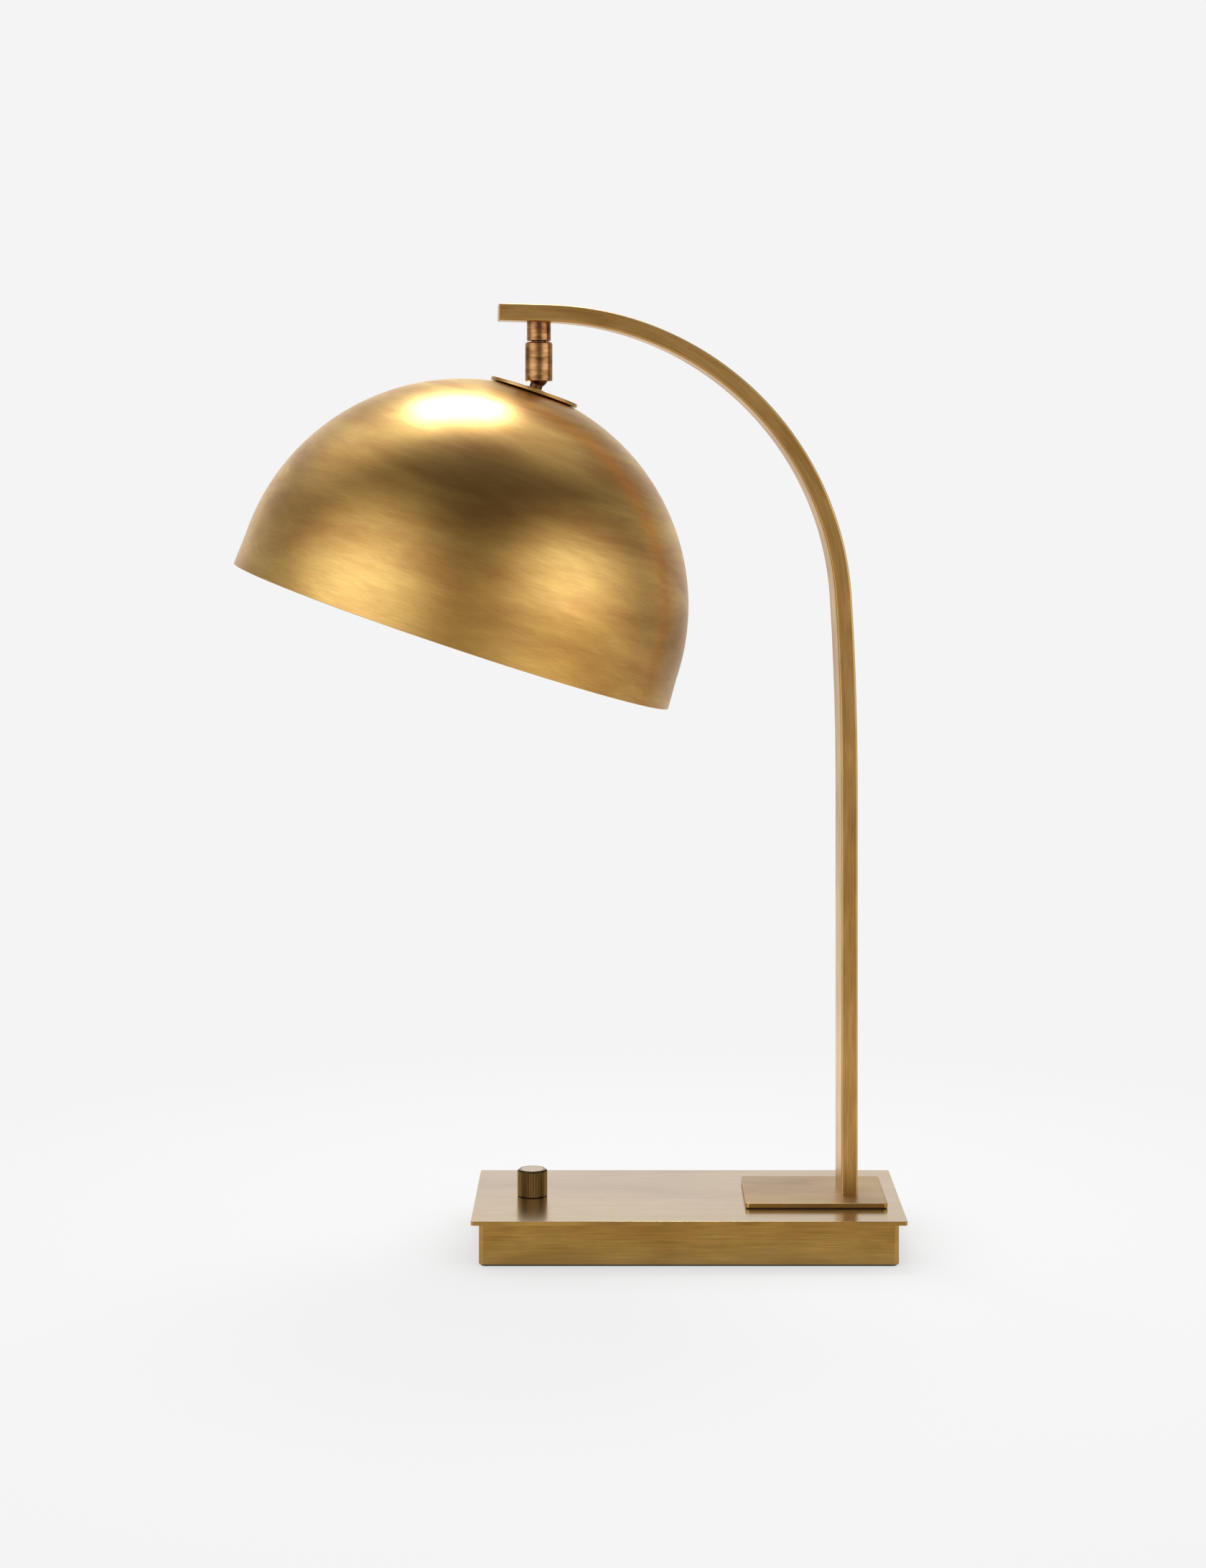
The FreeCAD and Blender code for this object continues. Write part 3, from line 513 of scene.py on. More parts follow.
def grained(name, colour, second, rough, size, relief, metallic=0.0, spread=0.06, **sockets):
    """Cast, moulded, woven, plated or painted finish with its own grain."""
    material, tree, shader = blank(name)
    place = add(tree, "ShaderNodeTexCoord").outputs["Object"]
    grain = placed_effect(tree, GRAIN, Position=place, Size=size)
    age = placed_effect(tree, PATINA, Position=place, Size=size * 20)
    tone = mixed(tree, grain["Patches"], colour, second)
    tone = mixed(tree, calc(tree, "MULTIPLY", age["Specks"], 0.25), tone, second)
    gloss = calc(tree, "ADD", calc(tree, "MULTIPLY", grain["Patches"], spread), rough - spread / 2)
    bump = add(tree, "ShaderNodeBump", {"Height": grain["Height"], "Distance": relief, "Strength": 1.0})
    shader.inputs["Metallic"].default_value = metallic
    for socket, value in sockets.items():
        shader.inputs[socket.replace("_", " ")].default_value = value
    tree.links.new(tone, shader.inputs["Base Color"])
    tree.links.new(gloss, shader.inputs["Roughness"])
    tree.links.new(bump.outputs[0], shader.inputs["Normal"])
    return material


# ======== finishes ========

PALE = rgb(241, 204, 136)
DEEP = rgb(216, 168, 96)
WARM = rgb(222, 170, 112)

FINISHES = {
    "base_brass": brass("box_brass", rgb(226, 190, 116), rgb(194, 154, 86), rgb(202, 154, 98), 0.36,
                        length=0.03, width=0.0007, waver=0.0004, cloud=0.06, relief=1e-5),
    # paler, coated finish that the top plate and the knob take on their flats only: a painted sheen against their
    # darker sides
    "plate_brass": brass("plate_brass", rgb(208, 182, 147), rgb(188, 158, 124), rgb(196, 162, 130), 0.17,
                         length=0.05, width=0.0009, waver=0.0006, cloud=0.12, relief=1e-6, streaks=0.12,
                         coat=0.5),
    "arm_brass": brass("arm_brass", rgb(250, 208, 140), rgb(214, 168, 102), rgb(222, 170, 116), 0.32,
                       length=0.03, width=0.0009, waver=0.0003, cloud=0.05, relief=4e-6, edge=0.6),
    "shade_brass": brass("shade_brass", rgb(255, 216, 132), rgb(212, 162, 96), rgb(222, 168, 108), 0.31,
                         length=0.009, width=0.0006, waver=0.001, cloud=0.09, streaks=0.14, edge=0.4),
    "disk_brass": brass("disk_brass", PALE, DEEP, WARM, 0.3,
                        length=0.008, width=0.0005, waver=0.0003, cloud=0.02, relief=4e-6),
    "swivel_brass": brass("swivel_brass", rgb(232, 182, 126), rgb(136, 94, 60), rgb(172, 118, 78), 0.16,
                          length=0.006, width=0.0004, waver=0.0002, cloud=0.012, relief=6e-6, streaks=0.35),
    "knob_brass": brass("knob_brass", rgb(88, 70, 44), rgb(58, 46, 28), rgb(72, 54, 34), 0.34,
                        length=0.004, width=0.0003, waver=0.0002, cloud=0.006, relief=1e-6, streaks=0.2,
                        edge=1.0, rubbed=rgb(186, 156, 102)),
    "stem_copper": brass("stem_copper", rgb(150, 104, 76), rgb(92, 62, 48), rgb(112, 72, 56), 0.32,
                         length=0.003, width=0.0003, waver=0.0002, cloud=0.008, relief=2e-6, streaks=0.4,
                         edge=0.4),
    "thread_brass": brass("thread_brass", rgb(232, 208, 140), rgb(214, 186, 112), WARM, 0.25,
                          length=0.004, width=0.0002, waver=0.0002, cloud=0.01, relief=1e-6),
    "steel": grained("zinc_steel", rgb(200, 202, 204), rgb(172, 174, 178), 0.32, 0.0006, 3e-6, metallic=1.0),
    "bulb_metal": grained("cap_metal", rgb(214, 214, 212), rgb(190, 190, 188), 0.3, 0.0004, 2e-6,
                          metallic=1.0),
    "cover_steel": grained("cover_paint", rgb(34, 34, 34), rgb(46, 46, 45), 0.5, 0.0012, 2e-5),
    "iron": grained("cast_iron", rgb(52, 52, 52), rgb(74, 72, 70), 0.7, 0.0014, 2e-4),
    "felt": grained("pad_felt", rgb(24, 23, 22), rgb(40, 38, 36), 0.95, 0.0005, 2e-4, Sheen_Weight=0.4),
    # near-black, so the thin gaskets it dresses also paint the shade of the gaps they sit in
    "gasket": grained("gasket_gap_shade", rgb(34, 28, 24), rgb(48, 38, 30), 0.6, 0.0008, 1e-5),
    "black_plastic": grained("black_plastic", rgb(28, 28, 28), rgb(38, 38, 37), 0.42, 0.0004, 1e-5),
    "porcelain": grained("glazed_porcelain", rgb(236, 233, 222), rgb(226, 221, 206), 0.2, 0.003, 1e-5,
                         Coat_Weight=0.5),
    "liner": grained("fibre_liner", rgb(178, 160, 128), rgb(158, 138, 104), 0.75, 0.0007, 4e-5),
    "lead": grained("lead_cover", rgb(214, 206, 184), rgb(198, 188, 164), 0.4, 0.0008, 1e-5),
    "bulb_glass": grained("frosted_glass", rgb(238, 238, 234), rgb(230, 230, 226), 0.3, 0.001, 2e-6,
                          Transmission_Weight=0.35, Coat_Weight=0.6),
}
# paler finish for the foot plate's flats: a painted sheen against its darker edges
FOOT = brass("foot_brass", rgb(208, 176, 138), rgb(188, 156, 118), rgb(192, 156, 122), 0.3,
             length=0.04, width=0.0009, waver=0.0006, cloud=0.05, relief=1e-6, streaks=0.15)
ENAMEL = grained("white_enamel", rgb(236, 232, 220), rgb(230, 225, 211), 0.42, 0.0009, 1.2e-5,
                 Coat_Weight=0.15)
SLOT_OF = {row["node"]: row["material_slot"] for row in frame["record"]["subparts"]}


def dressed(piece, slot):
    """Gives a piece the finish of one slot of the record."""
    piece.data.materials.clear()
    piece.data.materials.append(FINISHES[slot])


def stands_for(piece, body, *nodes):
    """The piece takes its finish from its first node, rides on the body and replaces the nodes."""
    slot = SLOT_OF[nodes[0]]
    if not piece.data.materials:
        dressed(piece, slot)
    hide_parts(*nodes)
    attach(piece, body)


# ======== base ========

def base_box():
    """Folded sheet box, open at its foot, with the hole for the inlet bushing."""
    low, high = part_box("base_housing")
    edge = 0.25 * MM
    corner_rub = 0.5
    size = high - low
    rows = [(low.z, edge, 1.0), (low.z + edge, 0.0, 0.6), (high.z, 0.0, 0.0), (high.z, SHEET, 0.0),
            (low.z, SHEET, 0.0)]
    rings = []
    for z, inset, rub in rows:
        outline = rectangle(size.x - 2 * inset, size.y - 2 * inset, BOX_CORNER - inset)
        rings.append([((x, y, z), level_lines(x, y, z), max(rub, corner_rub * worn))
                      for x, y, worn in outline])
    box = loft("base_box", rings, closed=True)
    low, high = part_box("cord_bushing")
    centre = (low + high) / 2
    upright = Matrix.Translation(centre) @ Matrix.Rotation(math.pi / 2, 4, "X")
    reach = 4.0 * MM
    hole = [(0, -reach), (INLET_HOLE, -reach), (INLET_HOLE, reach), (0, reach)]
    cutter = lathe("inlet_hole", hole, upright, 64)
    stands_for(cut(box, cutter), "base", "base_housing")


def base_plates():
    """Top plate, the post's foot plate with its dark shim, and the felt pad. The plates' flats get a painted sheen
    against their darker edges, and the near-black shim is a real gasket that also paints the shade of the gap
    under the foot plate.
    """
    top = plate("base_top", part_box("top_plate"), TOP_CORNER, PLATE_EDGE, along_x)
    stands_for(sheen_painted_on_flats(top, FINISHES["plate_brass"], FINISHES["base_brass"]), "base", "top_plate")
    foot = plate("post_foot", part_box("foot_plate"), FOOT_CORNER, FOOT_EDGE, along_x)
    stands_for(sheen_painted_on_flats(foot, FOOT, FINISHES["base_brass"]), "base", "foot_plate")
    shim = plate("foot_shim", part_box("foot_gasket"), SHIM_CORNER, SHIM_EDGE, along_x)
    stands_for(shim, "base", "foot_gasket")
    pad = plate("rest_pad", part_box("felt_pad"), PAD_CORNER, PLATE_EDGE, along_x)
    stands_for(pad, "base", "felt_pad")


def inlet_bushing():
    """Flanged bushing in the back wall."""
    low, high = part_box("cord_bushing")
    flange = (high.x - low.x) / 2
    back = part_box("base_housing")[1].y
    bore = 3.3 * MM
    sleeve = 4.95 * MM
    lip = 5.7 * MM
    lip_depth = 1.6 * MM
    inner = low.y + lip_depth
    middle = Matrix.Translation(((low.x + high.x) / 2, 0, (low.z + high.z) / 2))
    place = middle @ Matrix.Rotation(-math.pi / 2, 4, "X")
    outline = rounded([(bore, low.y), (sleeve, low.y), (lip, inner), (sleeve, inner), (sleeve, back),
                       (flange, back), (flange, high.y, 0.7 * MM), (bore, high.y, 0.5 * MM)])
    stands_for(lathe("inlet_bushing", outline, place, 96), "base", "cord_bushing")


# ======== arm ========

def arm_stations():
    """Frames along the middle of the tube: height on the post, then the two bends, then the free end."""
    first = LEAD_IN_TURN
    last = math.pi / 2 - END_SLOPE
    rise = LEAD_IN_RADIUS * math.sin(first) + BEND_RADIUS * (math.sin(last) - math.sin(first))
    across = LEAD_IN_RADIUS * (1 - math.cos(first)) + BEND_RADIUS * (math.cos(first) - math.cos(last))
    end_rise = (ARM_REACH - across) / math.tan(last)
    bend_start = ARM_TOP - ARM_THICK / 2 / math.sin(last) - rise - end_rise
    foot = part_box("foot_plate")[1].z
    post_steps = 12
    here = Vector((0.0, 0.0, foot))
    heading = 0.0
    travelled = 0.0
    stations = [(here.copy(), heading, travelled)]

    def forward(length):
        nonlocal travelled
        here.x -= length * math.sin(heading)
        here.z += length * math.cos(heading)
        travelled += length
        stations.append((here.copy(), heading, travelled))

    for step in range(post_steps):
        forward((bend_start - foot) / post_steps)
    for radius, turn, steps in ((LEAD_IN_RADIUS, LEAD_IN_TURN, 10), (BEND_RADIUS, last - first, 96)):
        part = turn / steps
        chord = 2 * radius * math.sin(part / 2)
        for step in range(steps):
            heading += part / 2
            forward(chord)
            heading += part / 2
            stations[-1] = (stations[-1][0], heading, travelled)
    run = (ARM_REACH + here.x) / math.sin(heading)
    forward(run - ARM_END_EDGE)
    forward(ARM_END_EDGE)
    return stations


def arm_ring(station, outline, back=0.0):
    """A section of the tube at a station, moved back along the tube."""
    spot, heading, travelled = station
    out = Vector((math.cos(heading), 0, math.sin(heading)))
    on = Vector((-math.sin(heading), 0, math.cos(heading)))
    ring = []
    for x, y, worn in outline:
        point = spot + out * x - on * back + Vector((0, y, 0))
        ring.append((point, (travelled - back, 0.0, x + y), worn))
    return ring


def arm_pieces():
    stations = arm_stations()
    section = rectangle(ARM_THICK, ARM_DEPTH, ARM_EDGE)
    inset = 2 * ARM_END_EDGE
    faced = rectangle(ARM_THICK - inset, ARM_DEPTH - inset, ARM_EDGE - ARM_END_EDGE)
    mouth = rectangle(ARM_THICK - 2 * ARM_WALL, ARM_DEPTH - 2 * ARM_WALL, ARM_EDGE / 2)
    end = stations[-1]
    rings = [arm_ring(station, section) for station in stations[:-1]]
    rings.append([(point, lay, 1.0) for point, lay, worn in arm_ring(end, faced)])
    rings += [arm_ring(end, mouth), arm_ring(end, mouth, PLUG_LENGTH)]
    stands_for(loft("arm_bar", rings, ARM_FRAME), "base", "arm_tube")
    fit = 0.12 * MM
    dome = 0.04 * MM
    filled = rectangle(ARM_THICK - 2 * ARM_WALL - fit, ARM_DEPTH - 2 * ARM_WALL - fit, ARM_EDGE / 2)
    flat = rectangle(ARM_THICK - 2 * ARM_WALL - 4 * fit, ARM_DEPTH - 2 * ARM_WALL - 4 * fit, ARM_EDGE / 3)
    plug = [arm_ring(end, filled, PLUG_LENGTH - fit), arm_ring(end, filled, dome * 2),
            arm_ring(end, flat, dome)]
    stands_for(loft("arm_cap", plug, ARM_FRAME), "base", "arm_end_plug")


# ======== swivel ========

def swivel_pieces():
    low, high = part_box("swivel_collar")
    radius = (high.x - low.x) / 2
    outline = rounded([(NIPPLE_RADIUS, low.z), (radius - COLLAR_CHAMFER / 2, low.z, 0.2 * MM),
                       (radius, low.z + COLLAR_CHAMFER / 2, 0.2 * MM), (radius, high.z),
                       (NIPPLE_RADIUS, high.z)])
    stands_for(lathe("swivel_collar_turned", outline, SWIVEL_FRAME), "base", "swivel_collar")
    low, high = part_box("swivel_barrel")
    radius = (high.x - low.x) / 2
    seat = BALL_RADIUS + BALL_FIT
    drop = math.degrees(math.asin((low.z - BALL.z) / seat))
    seat_top = 14.0
    mouth = arc(seat, BALL.z, seat_top, drop, 16)
    outline = rounded([(radius - 0.4 * MM, low.z, 0.15 * MM), (radius, low.z + 0.4 * MM, 0.2 * MM),
                       (radius, high.z - BARREL_CHAMFER, 0.2 * MM),
                       (radius - BARREL_CHAMFER, high.z, 0.2 * MM),
                       (BARREL_BORE, high.z), (BARREL_BORE, mouth[0][1]), *mouth])
    stands_for(lathe("swivel_barrel_turned", outline, SWIVEL_FRAME), "swivel", "swivel_barrel")


# ======== head ========

def ball_and_stem():
    neck = -math.degrees(math.acos(STEM_RADIUS / BALL_RADIUS))
    top = math.degrees(math.acos(STEM_FLARE / BALL_RADIUS))
    ball = arc(BALL_RADIUS, 0.0, neck, top, 40)
    outline = [(STEM_BORE, STEM_END), (STEM_RADIUS, STEM_END), *ball, (STEM_BORE, ball[-1][1] - STEM_FUNNEL)]
    stands_for(lathe("ball_stem_turned", outline, HEAD_FRAME, 128), "head", "ball_stem")


def disk_and_ring():
    outline = rounded([(STEM_RADIUS, DISK_BOTTOM), (DISK_RADIUS, DISK_BOTTOM, 0.4 * MM),
                       (DISK_RADIUS, DISK_TOP, 0.4 * MM), (STEM_RADIUS, DISK_TOP)])
    stands_for(lathe("crown_disk", outline, HEAD_FRAME, 256), "head", "cap_disk")
    top = DISK_TOP + LOCK_RING_THICK
    outline = rounded([(STEM_RADIUS, DISK_TOP), (LOCK_RING_RADIUS, DISK_TOP),
                       (LOCK_RING_RADIUS, top, 0.35 * MM), (STEM_RADIUS, top, 0.1 * MM)])
    stands_for(lathe("neck_ring", outline, HEAD_FRAME, 128), "head", "lock_ring")


def shade():
    """Spun dome, brass outside and white enamel inside."""
    inner = DOME_RADIUS - DOME_WALL
    under = DISK_BOTTOM - DOME_WALL
    crown = math.degrees(math.asin((DISK_BOTTOM - DOME_CENTRE) / DOME_RADIUS))
    inner_crown = math.degrees(math.asin((under - DOME_CENTRE) / inner))
    steps = 72
    outline = rounded([(STEM_RADIUS, DISK_BOTTOM), *arc(DOME_RADIUS, DOME_CENTRE, crown, 0.0, steps),
                       (RIM_RADIUS, RIM_Z, 0.3 * MM), (RIM_RADIUS - DOME_WALL, RIM_Z, 0.3 * MM),
                       *arc(inner, DOME_CENTRE, 0.0, inner_crown, steps), (STEM_RADIUS, under)])
    piece = lathe("dome_shell", outline, HEAD_FRAME, 288)
    dressed(piece, "shade_brass")
    piece.data.materials.append(ENAMEL)
    inwards = HEAD_FRAME.inverted()
    enamel_edge = RIM_Z + 0.6 * MM
    for face in piece.data.polygons:
        centre = inwards @ face.center
        away = inwards.to_3x3() @ face.normal
        facing_in = away.x * centre.x + away.y * centre.y + away.z * (centre.z - DOME_CENTRE) < 0
        if facing_in and centre.z > enamel_edge:
            face.material_index = 1
    stands_for(piece, "head", "dome_shade")


def socket_pieces():
    shoulder = 4.5 * MM
    wall = 1.0 * MM
    outline = rounded([(STEM_RADIUS, SOCKET_TOP), (SOCKET_RADIUS - shoulder, SOCKET_TOP, 3.0 * MM),
                       (SOCKET_RADIUS, SOCKET_TOP - shoulder, 3.0 * MM),
                       (SOCKET_RADIUS, SOCKET_CAP_END, 0.3 * MM),
                       (SOCKET_RADIUS - wall, SOCKET_CAP_END), (SOCKET_RADIUS - wall, SOCKET_TOP - shoulder),
                       (SOCKET_RADIUS - shoulder, SOCKET_TOP - wall), (STEM_RADIUS, SOCKET_TOP - wall)], 8)
    stands_for(lathe("socket_cap_turned", outline, HEAD_FRAME, 128), "head", "socket_cap")
    shell_wall = 0.8 * MM
    lip = 0.6 * MM
    inner = SHELL_RADIUS - shell_wall
    bead = [(SHELL_RADIUS + lip * math.sin(math.pi * n / 8),
             SHELL_END + lip + lip * math.cos(math.pi * n / 8)) for n in range(9)]
    outline = [(inner, SHELL_TOP), (SHELL_RADIUS - 0.05 * MM, SHELL_TOP), *bead, (inner, SHELL_END)]
    stands_for(lathe("socket_shell_turned", outline, HEAD_FRAME, 128), "head", "socket_shell")


def bulb():
    """Frosted bulb with a hollow waist between neck and globe."""
    centre = BULB_TIP + BULB_RADIUS
    across = BULB_NECK + BULB_WAIST
    rise = math.sqrt((BULB_RADIUS + BULB_WAIST) ** 2 - across ** 2)
    meet = math.degrees(math.atan2(rise, across))
    waist = [(across - BULB_WAIST * math.cos(math.radians(meet * n / 12)),
              centre + rise - BULB_WAIST * math.sin(math.radians(meet * n / 12))) for n in range(13)]
    globe = arc(BULB_RADIUS, centre, meet, -90.0, 48)[1:]
    globe[-1] = (0.0, BULB_TIP)
    outline = [(0.0, SHELL_END), (BULB_NECK, SHELL_END), *waist, *globe]
    stands_for(lathe("bulb_globe", outline, HEAD_FRAME, 128, 50.0), "head", "bulb_glass")


# ======== knob ========

def ridge_tree():
    """Upright ridges set round a core, each a slim prism with a tapered top."""
    tree = bpy.data.node_groups.new("Knob ridges", "GeometryNodeTree")
    tree.interface.new_socket("Geometry", in_out="INPUT", socket_type="NodeSocketGeometry")
    names = {"Ridges": "Int", "Radius": "Float", "Depth": "Float", "Height": "Float", "Bottom": "Float"}
    for label, kind in names.items():
        tree.interface.new_socket(label, in_out="INPUT", socket_type="NodeSocket" + kind)
    tree.interface.new_socket("Place", in_out="INPUT", socket_type="NodeSocketVector")
    tree.interface.new_socket("Finish", in_out="INPUT", socket_type="NodeSocketMaterial")
    tree.interface.new_socket("Geometry", in_out="OUTPUT", socket_type="NodeSocketGeometry")
    given = add(tree, "NodeGroupInput").outputs
    root = calc(tree, "SUBTRACT", given["Radius"], given["Depth"])
    circle = add(tree, "GeometryNodeMeshCircle", {"Vertices": given["Ridges"], "Radius": root})
    sizes = {"Vertices": 4, "Radius": given["Depth"], "Depth": given["Height"]}
    prism = add(tree, "GeometryNodeMeshCylinder", sizes, fill_type="NONE")
    sizes = {"Vertices": 4, "Radius Bottom": given["Depth"], "Radius Top": 0.0, "Depth": given["Depth"]}
    taper = add(tree, "GeometryNodeMeshCone", sizes, fill_type="NONE")
    half = calc(tree, "MULTIPLY", given["Height"], 0.5)
    lift = add(tree, "ShaderNodeCombineXYZ", {2: half}).outputs[0]
    top = add(tree, "GeometryNodeTransform", {"Geometry": taper.outputs["Mesh"], "Translation": lift})
    ridge = add(tree, "GeometryNodeJoinGeometry", {0: prism.outputs["Mesh"]})
    tree.links.new(top.outputs[0], ridge.inputs[0])
    index = add(tree, "GeometryNodeInputIndex").outputs[0]
    step = calc(tree, "DIVIDE", 2 * math.pi, given["Ridges"])
    turn = add(tree, "ShaderNodeCombineXYZ", {2: calc(tree, "MULTIPLY", index, step)}).outputs[0]
    pitch = calc(tree, "DIVIDE", calc(tree, "MULTIPLY", step, given["Radius"]), given["Depth"])
    half_pitch = calc(tree, "MULTIPLY", pitch, 0.5)
    stretch = add(tree, "ShaderNodeCombineXYZ", {0: 1.0, 1: half_pitch, 2: 1.0}).outputs[0]
    ports = {"Points": circle.outputs[0], "Instance": ridge.outputs[0], "Rotation": turn, "Scale": stretch}
    row = add(tree, "GeometryNodeInstanceOnPoints", ports)
    whole = add(tree, "GeometryNodeRealizeInstances", {0: row.outputs[0]})
    spot = add(tree, "GeometryNodeInputPosition").outputs[0]
    parts = add(tree, "ShaderNodeSeparateXYZ", {0: spot}).outputs
    away = calc(tree, "SQRT", calc(tree, "ADD", calc(tree, "MULTIPLY", parts[0], parts[0]),
                                   calc(tree, "MULTIPLY", parts[1], parts[1])))
    crest = calc(tree, "DIVIDE", calc(tree, "SUBTRACT", away, root), given["Depth"])
    marked = add(tree, "GeometryNodeStoreNamedAttribute", {"Geometry": whole.outputs[0], "Name": "worn",
                                                           "Value": crest}, data_type="FLOAT", domain="POINT")
    shift = add(tree, "ShaderNodeCombineXYZ", {2: calc(tree, "ADD", given["Bottom"], half)}).outputs[0]
    goal = add(tree, "ShaderNodeVectorMath", {0: shift, 1: given["Place"]}, operation="ADD").outputs[0]
    moved = add(tree, "GeometryNodeTransform", {"Geometry": marked.outputs[0], "Translation": goal})
    joined = add(tree, "GeometryNodeJoinGeometry", {0: given["Geometry"]})
    tree.links.new(moved.outputs[0], joined.inputs[0])
    last = add(tree, "GeometryNodeRealizeInstances", {0: joined.outputs[0]})
    ports = {"Geometry": last.outputs[0], "Material": given["Finish"]}
    finished = add(tree, "GeometryNodeSetMaterial", ports)
    add(tree, "NodeGroupOutput", {0: finished.outputs[0]})
    return tree


def grow(piece, tree, **values):
    """Runs a geometry tree on a piece with its inputs set by name, and keeps the result as plain mesh."""
    modifier = piece.modifiers.new(tree.name, "NODES")
    modifier.node_group = tree
    keys = {item.name: item.identifier for item in tree.interface.items_tree if item.in_out == "INPUT"}
    for name, value in values.items():
        modifier[keys[name]] = value
    return settled(piece)


def knob():
    """Reeded knob with a fine groove round its flat top."""
    low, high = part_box("dimmer_knob")
    radius = (high.x - low.x) / 2
    core = radius - RIDGE_DEPTH
    groove = 7.2 * MM
    groove_width = 0.3 * MM
    place = Matrix.Translation((KNOB_AXIS.x, KNOB_AXIS.y, 0))
    recess = low.z + 4.5 * MM
    outline = rounded([(0, high.z), (groove - groove_width, high.z, 0.08 * MM),
                       (groove - groove_width, high.z - groove_width), (groove, high.z - groove_width),
                       (groove, high.z, 0.08 * MM), (radius - KNOB_BEVEL, high.z, 0.15 * MM),
                       (core, high.z - KNOB_BEVEL + RIDGE_DEPTH, 0.15 * MM), (core, low.z),
                       (KNOB_RECESS, low.z), (KNOB_RECESS, recess), (0, recess)])
    piece = lathe("reeded_knob", outline, place, 216)
    grow(piece, ridge_tree(), Ridges=KNOB_RIDGES, Radius=radius, Depth=RIDGE_DEPTH,
         Height=high.z - low.z - KNOB_BEVEL, Bottom=low.z, Place=(KNOB_AXIS.x, KNOB_AXIS.y, 0.0),
         Finish=FINISHES["knob_brass"])
    # the flat top takes the plate's paler, coated finish while the reeded sides keep the dark one: a painted sheen
    # on the upward face
    piece.data.materials.append(FINISHES["plate_brass"])
    for face in piece.data.polygons:
        if face.normal.z > 0.9 and face.center.z > high.z - groove_width / 2:
            face.material_index = len(piece.data.materials) - 1
    stands_for(piece, "knob", "dimmer_knob")


# ======== the nodes that keep their own shape ========

def carried_nodes():
    """Every node starts with the finish of its slot. The drawn pieces replace some of them."""
    for name, piece in frame["nodes"].items():
        dressed(piece, SLOT_OF[name])


# ======== stage ========

def floor_paper():
    """White paper. Its shadow beside the object is partly real, from the share of lit paper, and partly painted:
    ambient occlusion darkens its glow near the object. Glossy rays see it dimmer and warmer than it looks, with a
    painted pool of light and painted soft patches, and painted shade close to the object.
    """
    painted_shadow_reach = 0.06
    painted_shadow_depth = 0.84
    lit_colour = (0.93, 0.93, 0.93, 1.0)
    lit_share = 0.2                   # of the paper's tone, close to the object
    lit_band = (0.2, 0.6)
    mirror_reach = 0.15
    mirror_near = 0.58
    mirror_far = 0.29
    mirror_band = (0.5, 2.2)
    glow_share = 0.6
    glow_band = (0.8, 2.6)
    material = bpy.data.materials.new("floor_paper")
    material.use_nodes = True
    tree = material.node_tree
    tree.nodes.clear()
    rays = add(tree, "ShaderNodeLightPath").outputs
    place = add(tree, "ShaderNodeTexCoord").outputs["Object"]
    away = add(tree, "ShaderNodeVectorMath", {0: place}, operation="LENGTH").outputs["Value"]
    # painted contact shadow: the paper's glow is darkened where ambient occlusion finds the object
    painted_contact_shadow = add(tree, "ShaderNodeAmbientOcclusion", {"Distance": painted_shadow_reach}, samples=12).outputs["AO"]
    painted_contact_shadow = remap(tree, painted_contact_shadow, 0.35, 1.0, painted_shadow_depth, 1.0)
    paper = add(tree, "ShaderNodeEmission", {"Color": PAPER, "Strength": painted_contact_shadow})
    lit = add(tree, "ShaderNodeBsdfDiffuse", {"Color": lit_colour})
    far = remap(tree, away, *lit_band, 1.0 - lit_share, 1.0)
    shown = add(tree, "ShaderNodeMixShader", {0: far, 1: lit.outputs[0], 2: paper.outputs[0]})
    # what glossy rays see: a painted pool of light, brighter close to the object and fading away, with painted
    # soft patches behind and to both sides, and painted shade where ambient occlusion finds the object
    mirrored_painted_shade = add(tree, "ShaderNodeAmbientOcclusion", {"Distance": mirror_reach}, samples=4).outputs["AO"]
    level = calc(tree, "MULTIPLY", remap(tree, away, *mirror_band, mirror_near, mirror_far),
                 remap(tree, mirrored_painted_shade, 0.3, 1.0, 0.3, 1.0))
    direction = add(tree, "ShaderNodeVectorMath", {0: place}, operation="NORMALIZE").outputs[0]
    level = calc(tree, "ADD", level, lobe(tree, direction, *BACK_GLOW))
    glow = calc(tree, "MULTIPLY", side_glows(tree, direction), remap(tree, away, *glow_band, 0.0, glow_share))
    level = calc(tree, "ADD", level, glow)
    mirrored = add(tree, "ShaderNodeEmission", {"Color": room_tint(tree, direction), "Strength": level})
    even = calc(tree, "SUBTRACT", 1.0, rays["Is Glossy Ray"])
    both = add(tree, "ShaderNodeMixShader", {0: even, 1: mirrored.outputs[0], 2: shown.outputs[0]})
    add(tree, "ShaderNodeOutputMaterial", {"Surface": both.outputs[0]})
    material.cycles.emission_sampling = "NONE"
    return material


def floor():
    """Wide sheet just under the object's underside."""
    size = 8.0
    gap = 0.3 * MM
    bm = bmesh.new()
    bmesh.ops.create_grid(bm, x_segments=1, y_segments=1, size=size)
    mesh = bpy.data.meshes.new("floor")
    bm.to_mesh(mesh)
    bm.free()
    piece = linked("floor", mesh)
    piece.location.z = -gap
    mesh.materials.append(floor_paper())


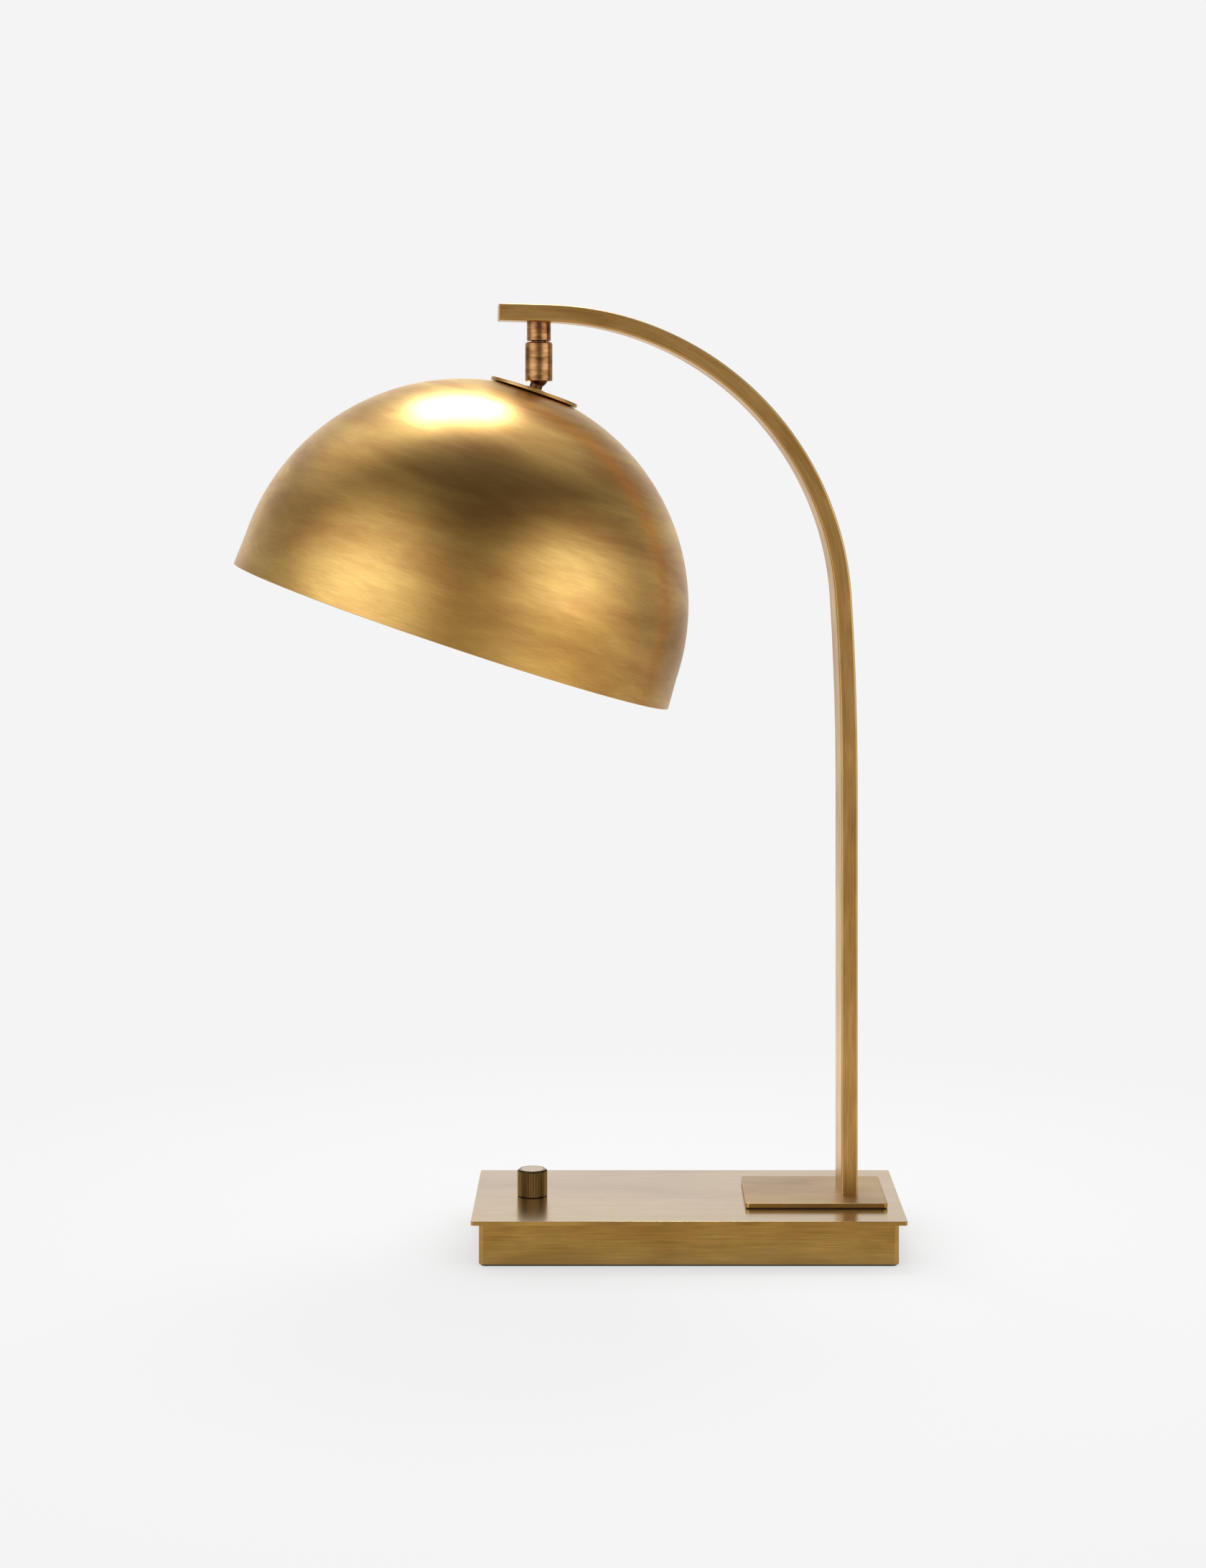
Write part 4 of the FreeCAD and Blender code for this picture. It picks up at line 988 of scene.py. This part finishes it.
def lobe(tree, direction, toward, inner, outer, level, tall=1.0):
    """Soft patch in one direction: full within one distance on the unit sphere, gone beyond another."""
    from_middle = add(tree, "ShaderNodeVectorMath", {0: direction, 1: Vector(toward).normalized()},
                      operation="SUBTRACT").outputs[0]
    shape = scaled(tree, from_middle, 1.0, 1.0, tall)
    away = add(tree, "ShaderNodeVectorMath", {0: shape}, operation="LENGTH").outputs["Value"]
    ports = {"Value": away, "From Min": inner, "From Max": outer, "To Min": level, "To Max": 0.0}
    return add(tree, "ShaderNodeMapRange", ports, interpolation_type="SMOOTHSTEP", clamp=True).outputs[0]


def side_glows(tree, direction):
    """Two broad soft lights in front of the object, left and right."""
    return calc(tree, "ADD", lobe(tree, direction, *LEFT_GLOW), lobe(tree, direction, *RIGHT_GLOW))


def room_tint(tree, direction):
    """Warm in front of the object and nearly neutral behind it."""
    forward = add(tree, "ShaderNodeSeparateXYZ", {0: direction}).outputs[1]
    return mixed(tree, remap(tree, forward, -0.3, 0.6), AMBIENT, BEHIND)


def room():
    """Even white for all but glossy rays, which see a dim warm room with soft bright patches."""
    wall_front = 0.32
    wall_back = 0.48
    overhead = 0.2                    # share of the wall's level that is left high up
    world = bpy.data.worlds.new("room")
    bpy.context.scene.world = world
    world.use_nodes = True
    world.cycles.sampling_method = "NONE"
    tree = world.node_tree
    tree.nodes.clear()
    rays = add(tree, "ShaderNodeLightPath").outputs
    direction = add(tree, "ShaderNodeTexCoord").outputs["Generated"]
    parts = add(tree, "ShaderNodeSeparateXYZ", {0: direction}).outputs
    wall = remap(tree, parts[1], -0.2, 0.8, wall_front, wall_back)
    level = calc(tree, "MULTIPLY", wall, remap(tree, parts[2], 0.15, 0.72, 1.0, overhead))
    patches = [lobe(tree, direction, *BACK_GLOW), side_glows(tree, direction),
               lobe(tree, direction, *LEFT_SPILL), lobe(tree, direction, *RIGHT_SPILL)]
    for patch in patches:
        level = calc(tree, "ADD", level, patch)
    tint = mixed(tree, remap(tree, level, 0.35, 0.9), room_tint(tree, direction), BRIGHT)
    dim = add(tree, "ShaderNodeBackground", {"Color": tint, "Strength": level})
    white = add(tree, "ShaderNodeBackground", {"Color": PAPER})
    even = calc(tree, "SUBTRACT", 1.0, rays["Is Glossy Ray"])
    both = add(tree, "ShaderNodeMixShader", {0: even, 1: dim.outputs[0], 2: white.outputs[0]})
    add(tree, "ShaderNodeOutputWorld", {"Surface": both.outputs[0]})


def softbox(name, aim, toward, distance, width, height, radiance):
    """Area lamp that faces a point, given by the direction it lies in and its radiance."""
    lamp = bpy.data.lights.new(name, "AREA")
    lamp.shape = "RECTANGLE"
    lamp.size = width
    lamp.size_y = height
    lamp.energy = radiance * math.pi * width * height
    piece = bpy.data.objects.new(name, lamp)
    bpy.context.scene.collection.objects.link(piece)
    toward = Vector(toward).normalized()
    piece.location = aim + toward * distance
    piece.rotation_euler = toward.to_track_quat("Z", "Y").to_euler()
    piece.visible_camera = False


def lights():
    dome = HEAD_FRAME @ Vector((0, 0, DOME_CENTRE))
    softbox("top_softbox", dome, toward=(-0.03, 0.44, 0.9), distance=1.5, width=0.6, height=0.44,
            radiance=14.0)


def camera():
    lens = bpy.data.cameras.new("camera")
    lens.sensor_width = SENSOR
    lens.lens = FOCAL_PIXELS * SENSOR / FRAME_HEIGHT
    lens.shift_x = (FRAME_WIDTH / 2 - AXIS_PIXEL[0]) / FRAME_HEIGHT
    lens.shift_y = (AXIS_PIXEL[1] - FRAME_HEIGHT / 2) / FRAME_HEIGHT
    piece = bpy.data.objects.new("camera", lens)
    bpy.context.scene.collection.objects.link(piece)
    piece.location = CAMERA_PLACE
    piece.rotation_euler = (math.pi / 2, 0, 0)
    bpy.context.scene.camera = piece


carried_nodes()
base_box()
base_plates()
inlet_bushing()
arm_pieces()
swivel_pieces()
ball_and_stem()
disk_and_ring()
shade()
socket_pieces()
bulb()
knob()
camera()
room()
floor()
lights()
bpy.context.scene.view_settings.view_transform = "Standard"
